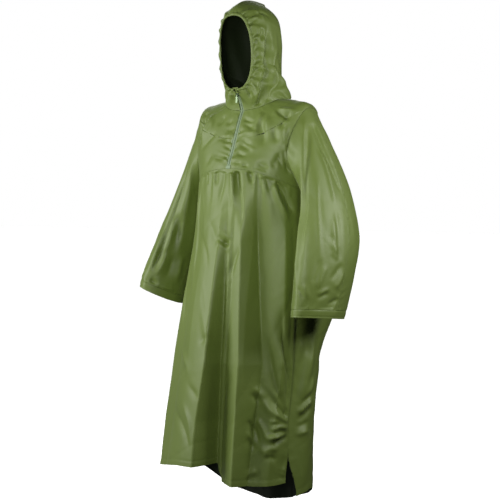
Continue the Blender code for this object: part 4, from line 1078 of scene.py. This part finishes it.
def dressed(name, kind, plain, middle, places, creases, surface):
    """The heights of a piece's creases, dents and puckers, none of them where it is sewn."""
    settings = bpy.context.scene.poncho_cloth
    (share, size, turn), puckers, held = WORKED[kind]
    heights = crease_heights(plain, normals_of(plain, middle), creases, surface,
                             settings.crease_share)
    heights = heights + crumple(places, plain, settings.dent_height * share,
                                sum(ord(letter) for letter in name), turn, size)
    rng = rng_for(name)
    for pucker in puckers:
        heights += pucker_heights(plain, rng, *pucker)
    return heights * sewn(plain, held)


def armhole_rows(count, below):
    """A body piece's rows: this many to the armhole, more round it, and those below it, with the
    armhole's angles and which rows are round it."""
    side, beside = armhole_at(np.linspace(0, 180, ARMHOLE_ROWS), 1.0)
    above = np.linspace(0.006, ARMHOLE_TOP_ROW, count)[:-1]
    return (np.concatenate([above, beside, below]), side,
            slice(len(above), len(above) + ARMHOLE_ROWS))


def make_yoke(name, sign):
    rows, side, beside = armhole_rows(
        YOKE_FIRST_ROWS, np.linspace(YOKE_ROW - 0.06, YOKE_ROW - GAP_ROW, YOKE_LAST_ROWS))
    end = np.full(len(rows), 90 - GAP_ANGLE)
    end[beside] = np.minimum(side, 90 - GAP_ANGLE)
    share = np.linspace(0, 1, YOKE_COLUMNS)
    plain = body_at(sign * end[:, None] * share, rows[:, None] + 0 * share)
    keep = ZIP_SHOWS + ZIP_SPREAD * np.arange(YOKE_COLUMNS)
    plain[..., 0] = sign * np.maximum(sign * plain[..., 0], keep)
    middle = body_middle(plain)
    heights = dressed(name, "yoke", plain, middle, round_places(plain), CREASES["yoke"],
                      of_places(body_at))
    # Beside the zip the cloth lies flat, a little under the tape's edge.
    free = smooth(edge_distance(plain, "first") / ZIP_FLAT)
    heights = np.clip(heights, -0.0010 - 0.02 * free, 0.02 * free) - 0.0012 * (1 - free)
    mark = "left" if sign > 0 else "right"
    cloth(name, plain, heights, middle, {
        f"yoke foot {mark}": ("foot", SEAM_STITCH), f"zip edge {mark}": ("first", SEAM_STITCH),
        f"neck {mark}": ("top", SEAM_STITCH)})


def even_shares(surface, count):
    """Shares from -1 to 1 that space this many columns evenly over a row's folds."""
    fine = np.linspace(-1, 1, 2401)
    run = run_along(surface(fine))
    return np.interp(np.linspace(0, run[-1], count), run, fine)


def hem_band(points, height=0.0007):
    """The doubled cloth of a hem: raised up to its stitching, with a groove there."""
    past = edge_distance(points, "foot") - HEM
    return height * (1 - smooth(past / 0.004)) - 1.6 * height * np.exp(-(past / 0.003) ** 2)


def make_skirt():
    rows = np.concatenate([np.linspace(SKIRT_TOP, GATHERS_FOOT, SKIRT_FIRST_ROWS)[:-1],
                           np.linspace(GATHERS_FOOT, HEM_ROW, SKIRT_ROWS)])
    end = seam_angle(rows) - GAP_ANGLE - SKIRT_VENT * vent(rows)
    share = even_shares(lambda s: skirt_at(SIDE_SEAM_ANGLE * s, SKIRT_EVEN_ROW + 0 * s),
                        SKIRT_COLUMNS)
    angles = end[:, None] * share
    plain = skirt_at(angles, front_hem(angles, rows[:, None] + 0 * share))
    middle = body_middle(plain)
    heights = dressed("skirt", "skirt", plain, middle, round_places(plain), CREASES["skirt"],
                      of_places(skirt_at))
    cloth("skirt_front", plain, heights + hem_band(plain), middle,
          {"front hem": ("foot", HEM)})


def make_back():
    below = np.linspace(YOKE_ROW + 0.02, HEM_ROW, BACK_ROWS)
    rows, side, beside = armhole_rows(BACK_FIRST_ROWS, below)
    end = seam_angle(rows) + GAP_ANGLE + vent(rows)
    end[beside] = np.maximum(180 - side, 90 + GAP_ANGLE)
    rows, end, share = rows[:, None], end[:, None], np.linspace(0, 1, BACK_COLUMNS)
    drop = np.where(share < 0.5, LEFT_DROP, RIGHT_DROP)
    lowered = rows + np.maximum(rows - TAIL_ROW, 0) * drop * (2 * share - 1) ** 2
    plain = body_at(end + (360 - 2 * end) * share, lowered)
    middle = body_middle(plain)
    heights = dressed("back", "back", plain, middle, run_places(plain),
                      CREASES["back"] + BACK_CREASES, of_places(body_at))
    cloth("back", plain, heights + hem_band(plain), middle, {"back hem": ("foot", HEM)})


def make_hood(name, sign):
    share = np.linspace(0, 1, HOOD_COLUMNS)
    along = np.linspace(0, 1, HOOD_ROWS)[:, None] ** HOOD_SPACING
    plain = hood_at(share, along + 0 * share)
    # The hood falls straight to the shoulder instead of swelling over the neckline.
    half = len(along) // 2
    t = np.linspace(0, 1, half)[:, None, None]
    straight = plain[half] * (1 - t) + plain[-1] * t
    pull = HOOD_PULL * (smooth((share - 0.05) / 0.2) * smooth((1.0 - share) / 0.25))[:, None]
    plain[half:] += (straight - plain[half:]) * pull * smooth(t * 2.5)
    plain[-1, share < NAPE_SHARE, 2] += SEAM_GAP
    plain[..., 0] = np.maximum(plain[..., 0], np.where(share < 0.3, ZIP_SHOWS, SEAM_GAP / 2))
    heights = dressed(name, "hood", plain, HEAD_MIDDLE, run_places(plain),
                      CREASES[name] + HOOD_CREASES, of_places(hood_at))
    # Low at the rear the cloth hangs smooth, and the casing holds it flat at the rim.
    heights *= 1 - HOOD_CALM * bump(share - 0.58, 0.25) * smooth((along - 0.55) / 0.2)
    heights *= smooth((edge_distance(plain, "top") - CASING * 0.6) / 0.008)
    flip = np.array([sign, 1.0, 1.0])
    cloth(name, plain * flip, heights, HEAD_MIDDLE * flip, {
        f"{name} crown": ("foot", SEAM_STITCH), f"{name} rim": ("top", CASING)},
        rim=RIM_DEPTH, side=sign)


def make_casing():
    half, rows = np.linspace(0, 1, CASING_COLUMNS), np.linspace(0, 1, CASING_ROWS)[:, None]
    plain = hood_at(half, rows * casing_end(half))
    plain[..., 0] = np.maximum(plain[..., 0], np.where(half < 0.3, ZIP_GAP, 0.0))
    normals = normals_of(plain, HEAD_MIDDLE)
    whole, facing = (np.concatenate([part, (part * (-1, 1, 1))[:, -2::-1]], axis=1)
                     for part in (plain, normals))
    rng = rng_for("casing")
    count = whole.shape[1]
    ripple = wave_noise(count, 5, rng) * 0.0011 + wave_noise(count, 12, rng) * 0.0008
    lift = SEAM_GAP + CASING_THICK + np.sin(np.pi * rows) * (0.0012 + ripple)
    outer = whole + facing * lift[..., None]
    mesh = shell("face_casing", outer, normals_of(outer, HEAD_MIDDLE), 0.0012)
    piece = add_piece("face_casing", mesh, [nylon(), lining_painted_dark()])
    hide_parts("face_casing")


def make_sleeve(name, rings, sign):
    evenly = np.linspace(0.12, band_start(rings) - 0.01, SLEEVE_ROWS)
    along = np.concatenate([[0.004, 0.03, 0.07], evenly])
    flip = np.array([sign, 1.0, 1.0])

    def surface(places):
        return np.stack([sleeve_at(rings, [t % 360], [f])[0, 0] for t, f in places])

    for part in ("front", "back"):
        turn = np.linspace(0.2, 179.8, SLEEVE_COLUMNS)
        plain = sleeve_at(rings, turn if part == "front" else 360 - turn, along)
        centre = sleeve_at(rings, np.array([0.0, 90, 180, 270]), along).mean(1)[:, None] + 0 * plain
        heights = dressed(name + part, "sleeve", plain, centre, run_places(plain),
                          CREASES[name], surface)
        cloth(f"{name}_{part}", plain * flip, heights, centre * flip, {
            f"{name} {part} top": ("top", SEAM_STITCH),
            f"{name} {part} seam": ("first", SEAM_STITCH)})


def make_cuff(name, rings, sign):
    flip = np.array([sign, 1.0, 1.0])
    turn, edge = np.arange(0, 360, CUFF_STEP), np.linspace(0, 1, CUFF_ROWS)[:, None]
    plain = sleeve_at(rings, turn, np.linspace(band_start(rings), len(rings), CUFF_ROWS))
    centre = plain.mean(1)[:, None] + 0 * plain
    wave = wave_noise(len(turn) + 1, 6, rng_for(name))[:-1] * 0.0010
    heights = wave * (0.4 + 0.6 * np.sin(np.pi * edge))
    # The band stands proud of the sleeve, with a groove at its top and one over its lower stitches.
    heights += 0.0008 - 0.0016 * np.exp(-(edge / 0.08) ** 2)
    heights -= 0.0010 * np.exp(-((edge - 0.80) / 0.06) ** 2)
    cloth(name, plain * flip, heights, centre * flip, {
        f"{name} upper": ("top", CUFF_STITCH), f"{name} lower": ("foot", CUFF_LOW_STITCH)},
        closed=True)


# ---------------------------------------------------------------- stitching
THREAD_RADIUS = 0.00030


def stitches(points, normals, length, gap):
    """Thread segments along a line on the cloth, pointed at both ends: vertices and faces."""
    steps = run_along(points)
    verts, faces = [], []
    for start in np.arange(gap, steps[-1] - length, length + gap):
        a, b = (np.array([np.interp(s, steps, points[:, k]) for k in range(3)])
                for s in (start, start + length))
        n = unit(np.array([np.interp(start, steps, normals[:, k]) for k in range(3)]))
        run = unit(b - a)
        side = np.cross(run, n)
        base = len(verts)
        verts.append(a - n * THREAD_RADIUS)
        for p in (a + run * length * 0.2, b - run * length * 0.2):
            verts += [p + side * THREAD_RADIUS, p + n * THREAD_RADIUS * 1.3,
                      p - side * THREAD_RADIUS, p - n * THREAD_RADIUS]
        verts.append(b - n * THREAD_RADIUS)
        for k in range(1, 5):
            j = k % 4 + 1
            faces += [(base, base + j, base + k), (base + k, base + j, base + 4 + j, base + 4 + k),
                      (base + 9, base + 4 + k, base + 4 + j)]
    return verts, faces


def make_stitching():
    settings = bpy.context.scene.poncho_cloth
    verts, faces = [], []
    for name in sorted(LINES):
        more, sides = stitches(*LINES[name], settings.stitch_length, settings.stitch_gap)
        faces += [tuple(k + len(verts) for k in face) for face in sides]
        verts += more
    mesh = mesh_of("stitching", verts, faces)
    mesh.shade_smooth()
    add_piece("stitching", mesh, [thread()])


# ---------------------------------------------------------------- zip
SIDEWAYS = np.array([1.0, 0, 0])
MID_PLANE = np.array([0, 1, 1])
TEETH, TOOTH_HALF, TOOTH_LOW, TOOTH_ROUND = 280, 0.00042, -0.0023, 0.0002
TOOTH_STATIONS = ((-0.0004, 0.0011), (0.0010, 0.0012), (0.0023, 0.0008))    # across, height
TOOTH_FACES = [(ring + e, ring + (e + 1) % 4, ring + (e + 1) % 4 + 4, ring + e + 4)
               for ring in (0, 4) for e in range(4)] + [(3, 2, 1, 0), (8, 9, 10, 11)]
BLOCK_FACES = ((0, 1, 3, 2), (4, 6, 7, 5), (0, 4, 5, 1), (2, 3, 7, 6), (0, 2, 6, 4), (1, 5, 7, 3))
BLOCK_ROUND = 0.0008
# Half the width, length and thickness of the bar at the zip's foot and of the guard at its top.
ZIP_FOOT_ROW, ZIP_FOOT_HALVES = 3.955, (0.0082, 0.0052, 0.0016)
GUARD_FOOT, GUARD_HALVES = 0.16, (0.0105, 0.0095, 0.0008)


def zip_line(count):
    """The zip's middle line with its direction and normals, from the chin to the yoke's seam."""
    first = float(casing_end(np.array([0.0]))[0])
    upper = hood_at(np.zeros(29), np.linspace(first + (1 - first) * 0.14, 1, 30)[:-1])
    line = np.concatenate([upper, body_at(np.zeros(70), np.linspace(0, 3.93, 70))])
    line[:, 0] = 0
    steps = run_along(line)
    at = np.linspace(0, steps[-1], count)
    line = np.stack([np.interp(at, steps, line[:, k]) for k in range(3)], -1)
    run = unit(np.gradient(line, axis=0))
    out = unit(np.cross(run, SIDEWAYS))
    return line, run, out if out[len(out) // 2, 1] < 0 else -out


def make_teeth():
    """The coil's teeth, which lean in from the left and the right in turn."""
    verts, faces = [], []
    for k, (p, r, n) in enumerate(zip(*zip_line(TEETH))):
        side, base = (1 if k % 2 else -1), len(verts)
        for across, lift in TOOTH_STATIONS:
            centre = p + SIDEWAYS * side * across + n * TOOTH_LOW
            start, end = centre - r * TOOTH_HALF, centre + r * TOOTH_HALF
            verts += [start, start + n * lift, end + n * lift, end]
        faces += [tuple(base + i for i in face[::-side]) for face in TOOTH_FACES]
    return mesh_of("coil_teeth", verts, faces)


def make_block(name, middle, down, wide, long, thick, surface, slot):
    """A bar across the zip: its middle, its direction down and half its sizes."""
    out = unit(np.cross(down, SIDEWAYS))
    verts = [middle + SIDEWAYS * x + down * r + out * n
             for x in (-wide, wide) for r in (-long, long) for n in (-thick, thick)]
    round_edges(add_piece(name, mesh_of(name, verts, BLOCK_FACES), [surface]), BLOCK_ROUND)


def make_zip():
    colours = bpy.context.scene.poncho_colours
    refinish(("zip_tape_left", "zip_tape_right"), tape())
    refinish(("zip_slider", "zip_pull"), moulded("lacquered slider", colours.slider, 0.34, 0.6))
    coil = add_piece("coil_teeth", make_teeth(), [moulded("nylon coil", colours.zip_coil, 0.38)])
    round_edges(coil, TOOTH_ROUND)
    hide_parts("zip_coil")
    down = unit(body_at(0, 3.97) - body_at(0, 3.94))
    make_block("zip_foot", body_at(0, ZIP_FOOT_ROW) + (0, 0.0012, 0), down, *ZIP_FOOT_HALVES,
               tape(), "zip_tape")
    chin, below = hood_at(0, 0.0), hood_at(0, GUARD_FOOT)
    make_block("chin_guard", (chin + below) / 2 * MID_PLANE + (0, 0.0020, 0),
               unit((below - chin) * MID_PLANE), *GUARD_HALVES, nylon(), "poncho_nylon")


# ---------------------------------------------------------------- stage
# Where each light stands: degrees from the camera, distance, height, height of its aim and size.
LIGHTS = {
    "key": (-76, 2.2, 0.05, -0.45, (0.7, 1.6)),
    "front": (-8, 1.4, -0.02, -0.12, (0.4, 0.5)),
    "side": (68, 1.3, 0.05, -0.25, (0.5, 0.6)),
    "rear": (190, 3.4, 1.0, -0.35, (2.2, 2.2)),
}
AIM = (-0.0184, -0.0129, -0.4570)
FLOOR_HALF = 40


def polar(azimuth, distance, height):
    """A place round the garment: azimuth 0 is straight in front of it, 90 at its wearer's left."""
    turn = math.radians(azimuth)
    return (distance * math.sin(turn), -distance * math.cos(turn), height)


def place_toward(name, data, place, aim):
    """Adds a light or camera that looks from its place at its aim."""
    made = bpy.data.objects.new(name, data)
    made.location = place
    made.rotation_euler = (Vector(aim) - Vector(place)).to_track_quat("-Z", "Y").to_euler()
    bpy.context.scene.collection.objects.link(made)
    return made


def make_floor(stage):
    w = FLOOR_HALF
    mesh = mesh_of("floor", [(-w, -w, 0), (w, -w, 0), (w, w, 0), (-w, w, 0)], [(0, 1, 2, 3)])
    pale, tree, shader = principled("pale floor", 0.9)
    tone = node(tree, "ShaderNodeTexNoise", {"Scale": 3.0, "Detail": 2.0}).outputs[0]
    tree.links.new(shaded(tree, tone, (0.80, 0.80, 0.79), (0.82, 0.82, 0.81)),
                   shader.inputs["Base Color"])
    mesh.materials.append(pale)
    floor = bpy.data.objects.new("floor", mesh)
    floor.location.z = -stage.shoulder_height
    bpy.context.scene.collection.objects.link(floor)
    floor.visible_diffuse = floor.visible_glossy = False
    below = bpy.data.collections.new("floor only")
    below.objects.link(floor)
    lamp = bpy.data.lights.new("floor light", "SUN")
    lamp.energy, lamp.angle = stage.floor_light, math.radians(40)
    high = bpy.data.objects.new("floor light", lamp)
    high.rotation_euler = (math.radians(12), math.radians(-14), 0)
    bpy.context.scene.collection.objects.link(high)
    high.light_linking.receiver_collection = below


def make_lights(stage):
    for name, (turn, distance, height, aim, size) in LIGHTS.items():
        lamp = bpy.data.lights.new(name, "AREA")
        lamp.shape, lamp.size, lamp.size_y = "RECTANGLE", *size
        lamp.energy = getattr(stage, name + "_power")
        place = polar(stage.camera_azimuth + turn, distance, height)
        place_toward(name, lamp, place, (0, 0, aim)).visible_camera = False


def make_world(stage):
    """White where the camera looks; its light comes mostly from the key light's side."""
    world = bpy.data.worlds.new("studio")
    world.use_nodes = True
    tree = world.node_tree
    seen = tree.nodes["Background"]
    seen.inputs[0].default_value = (1, 1, 1, 1)
    toward = node(tree, "ShaderNodeTexCoord").outputs["Generated"]
    side = Vector(polar(stage.camera_azimuth + LIGHTS["key"][0], 1.0, 0.1)).normalized()
    facing = node(tree, "ShaderNodeVectorMath", {0: toward, 1: side}, operation="DOT_PRODUCT")
    level = ranged(tree, facing.outputs["Value"], 0.05, 1.0, -0.25, 0.75,
                   interpolation_type="SMOOTHSTEP")
    level = math_node(tree, "MULTIPLY", level, stage.world_strength)
    around = node(tree, "ShaderNodeBackground", {0: (0.95, 0.98, 1.0, 1), 1: level})
    path = node(tree, "ShaderNodeLightPath")
    mix = node(tree, "ShaderNodeMixShader", {0: path.outputs["Is Camera Ray"], 1: around.outputs[0],
                                             2: seen.outputs[0]})
    tree.links.new(mix.outputs[0], tree.nodes["World Output"].inputs[0])
    bpy.context.scene.world = world


def make_camera(stage):
    lens = bpy.data.cameras.new("camera")
    lens.lens, lens.sensor_width = stage.camera_lens, 36
    place = polar(stage.camera_azimuth, stage.camera_distance, stage.camera_height)
    bpy.context.scene.camera = place_toward("camera", lens, place, AIM)


def make_stage():
    stage = bpy.context.scene.poncho_stage
    make_floor(stage)
    make_lights(stage)
    make_world(stage)
    bpy.context.scene.view_settings.view_transform = "Standard"
    make_camera(stage)


# ---------------------------------------------------------------- settings, operators and panel
class PonchoCloth(bpy.types.PropertyGroup):
    thickness: bpy.props.FloatProperty(
        name="Cloth thickness", description="Thickness of the shells that show",
        default=0.0007, min=0.0002, max=0.002, unit="LENGTH")
    crease_share: bpy.props.FloatProperty(
        name="Creases", description="How much of their full height the creases have",
        default=1.2, min=0.0, max=2.0, subtype="FACTOR")
    dent_height: bpy.props.FloatProperty(
        name="Dents", description="Height of the cloth's uneven small dents",
        default=0.0024, min=0.0, max=0.02, unit="LENGTH")
    stitch_length: bpy.props.FloatProperty(
        name="Stitch length", description="Length of the thread that shows in one stitch",
        default=0.0024, min=0.001, max=0.006, unit="LENGTH")
    stitch_gap: bpy.props.FloatProperty(
        name="Stitch gap", description="Gap between two stitches",
        default=0.0010, min=0.0003, max=0.004, unit="LENGTH")


class PonchoColours(bpy.types.PropertyGroup):
    nylon: bpy.props.FloatVectorProperty(
        name="Nylon", description="The nylon's colour", subtype="COLOR", min=0, max=1,
        default=(0.152, 0.212, 0.036))
    nylon_deep: bpy.props.FloatVectorProperty(
        name="Nylon, deeper", description="The nylon's colour in its darker patches",
        subtype="COLOR", min=0, max=1, default=(0.134, 0.190, 0.030))
    # The reverse side's colour is darkened almost to black as painted shade.
    reverse: bpy.props.FloatVectorProperty(
        name="Reverse side, painted dark", description="Colour of the nylon's coated inside, darkened as painted shade",
        subtype="COLOR", min=0, max=1, default=(0.016, 0.026, 0.008))
    zip_tape: bpy.props.FloatVectorProperty(
        name="Zip tape", description="Colour of the woven zip tape", subtype="COLOR", min=0, max=1,
        default=(0.26, 0.35, 0.20))
    zip_coil: bpy.props.FloatVectorProperty(
        name="Zip coil", description="Colour of the zip's coil", subtype="COLOR", min=0, max=1,
        default=(0.30, 0.40, 0.23))
    slider: bpy.props.FloatVectorProperty(
        name="Slider", description="Lacquer of the slider and its pull", subtype="COLOR", min=0,
        max=1, default=(0.20, 0.27, 0.15))
    thread: bpy.props.FloatVectorProperty(
        name="Thread", description="Colour of the sewing thread", subtype="COLOR", min=0, max=1,
        default=(0.17, 0.23, 0.07))


class PonchoStage(bpy.types.PropertyGroup):
    shoulder_height: bpy.props.FloatProperty(
        name="Shoulder height", description="Height of the shoulder line above the floor",
        default=1.45, min=1.3, max=2.0, unit="LENGTH")
    camera_azimuth: bpy.props.FloatProperty(
        name="Camera azimuth", description="Degrees round from the front to the wearer's left",
        default=35.0)
    camera_distance: bpy.props.FloatProperty(
        name="Camera distance", description="Distance from the garment's axis",
        default=4.4, min=2.0, max=10.0, unit="LENGTH")
    camera_height: bpy.props.FloatProperty(
        name="Camera height", description="Height above the shoulder line",
        default=-0.30, min=-1.4, max=2.0, unit="LENGTH")
    camera_lens: bpy.props.FloatProperty(
        name="Camera lens", description="Focal length on a 36 mm sensor", default=98.86, min=20,
        max=200, unit="CAMERA")
    key_power: bpy.props.FloatProperty(
        name="Key light", description="Power of the large light", default=36.0, min=0, unit="POWER")
    front_power: bpy.props.FloatProperty(
        name="Front light", description="Power of the light on the chest", default=9.5, min=0,
        unit="POWER")
    side_power: bpy.props.FloatProperty(
        name="Side light", description="Power of the light on the sleeve", default=11.0, min=0,
        unit="POWER")
    rear_power: bpy.props.FloatProperty(
        name="Rear light", description="Power of the light behind", default=34.0, min=0,
        unit="POWER")
    floor_light: bpy.props.FloatProperty(
        name="Floor light", description="Strength of the light on the floor", default=4.4, min=0)
    world_strength: bpy.props.FloatProperty(
        name="Surroundings", description="Strength of the light from all round", default=0.16,
        min=0, max=3, subtype="FACTOR")


class PONCHO_OT_yoke(bpy.types.Operator):
    """Makes both halves of the front yoke"""
    bl_idname = "poncho.yoke"
    bl_label = "Yoke"

    def execute(self, context):
        make_yoke("yoke_left", 1.0)
        make_yoke("yoke_right", -1.0)
        return {"FINISHED"}


class PONCHO_OT_skirt(bpy.types.Operator):
    """Makes the wide front piece below the yoke"""
    bl_idname = "poncho.skirt"
    bl_label = "Front skirt"

    def execute(self, context):
        make_skirt()
        return {"FINISHED"}


class PONCHO_OT_back(bpy.types.Operator):
    """Makes the back with its longer tail"""
    bl_idname = "poncho.back"
    bl_label = "Back"

    def execute(self, context):
        make_back()
        return {"FINISHED"}


class PONCHO_OT_hood(bpy.types.Operator):
    """Makes the hood's two halves and the casing round the face opening"""
    bl_idname = "poncho.hood"
    bl_label = "Hood"

    def execute(self, context):
        make_hood("hood_left", 1.0)
        make_hood("hood_right", -1.0)
        make_casing()
        return {"FINISHED"}


class PONCHO_OT_sleeves(bpy.types.Operator):
    """Makes both sleeves and their cuff bands"""
    bl_idname = "poncho.sleeves"
    bl_label = "Sleeves"

    def execute(self, context):
        make_sleeve("sleeve_left", SLEEVE_LEFT, 1.0)
        make_sleeve("sleeve_right", SLEEVE_RIGHT, -1.0)
        make_cuff("cuff_left", SLEEVE_LEFT, 1.0)
        make_cuff("cuff_right", SLEEVE_RIGHT, -1.0)
        return {"FINISHED"}


class PONCHO_OT_zip(bpy.types.Operator):
    """Makes the zip's coil and finishes its tapes, slider and pull"""
    bl_idname = "poncho.zip"
    bl_label = "Zip"

    def execute(self, context):
        make_zip()
        return {"FINISHED"}


class PONCHO_OT_stitching(bpy.types.Operator):
    """Sews the stitch lines beside the seams and hems"""
    bl_idname = "poncho.stitching"
    bl_label = "Stitching"

    def execute(self, context):
        make_stitching()
        return {"FINISHED"}


class PONCHO_OT_stage(bpy.types.Operator):
    """Sets up the floor, the lights and the camera"""
    bl_idname = "poncho.stage"
    bl_label = "Stage"

    def execute(self, context):
        make_stage()
        return {"FINISHED"}


OPERATORS = (PONCHO_OT_yoke, PONCHO_OT_skirt, PONCHO_OT_back, PONCHO_OT_hood, PONCHO_OT_sleeves,
             PONCHO_OT_zip, PONCHO_OT_stitching, PONCHO_OT_stage)
SETTINGS = {"poncho_cloth": PonchoCloth, "poncho_colours": PonchoColours,
            "poncho_stage": PonchoStage}


class PONCHO_PT_panel(bpy.types.Panel):
    """Lists the poncho's pieces and settings"""
    bl_idname = "PONCHO_PT_panel"
    bl_label = "Rain poncho"
    bl_space_type = "VIEW_3D"
    bl_region_type = "UI"
    bl_category = "Poncho"

    def draw(self, context):
        for kind in OPERATORS:
            self.layout.operator(kind.bl_idname)
        for name, settings in SETTINGS.items():
            box = self.layout.box()
            for prop in settings.__annotations__:
                box.prop(getattr(context.scene, name), prop)


def register():
    for kind in (*SETTINGS.values(), *OPERATORS, PONCHO_PT_panel):
        bpy.utils.register_class(kind)
    for name, settings in SETTINGS.items():
        setattr(bpy.types.Scene, name, bpy.props.PointerProperty(type=settings))


def unregister():
    for name in SETTINGS:
        delattr(bpy.types.Scene, name)
    for kind in reversed((*SETTINGS.values(), *OPERATORS, PONCHO_PT_panel)):
        bpy.utils.unregister_class(kind)


def main():
    register()
    bpy.ops.poncho.yoke()
    bpy.ops.poncho.skirt()
    bpy.ops.poncho.back()
    bpy.ops.poncho.hood()
    bpy.ops.poncho.sleeves()
    bpy.ops.poncho.zip()
    bpy.ops.poncho.stitching()
    bpy.ops.poncho.stage()


if __name__ == "__main__":
    main()
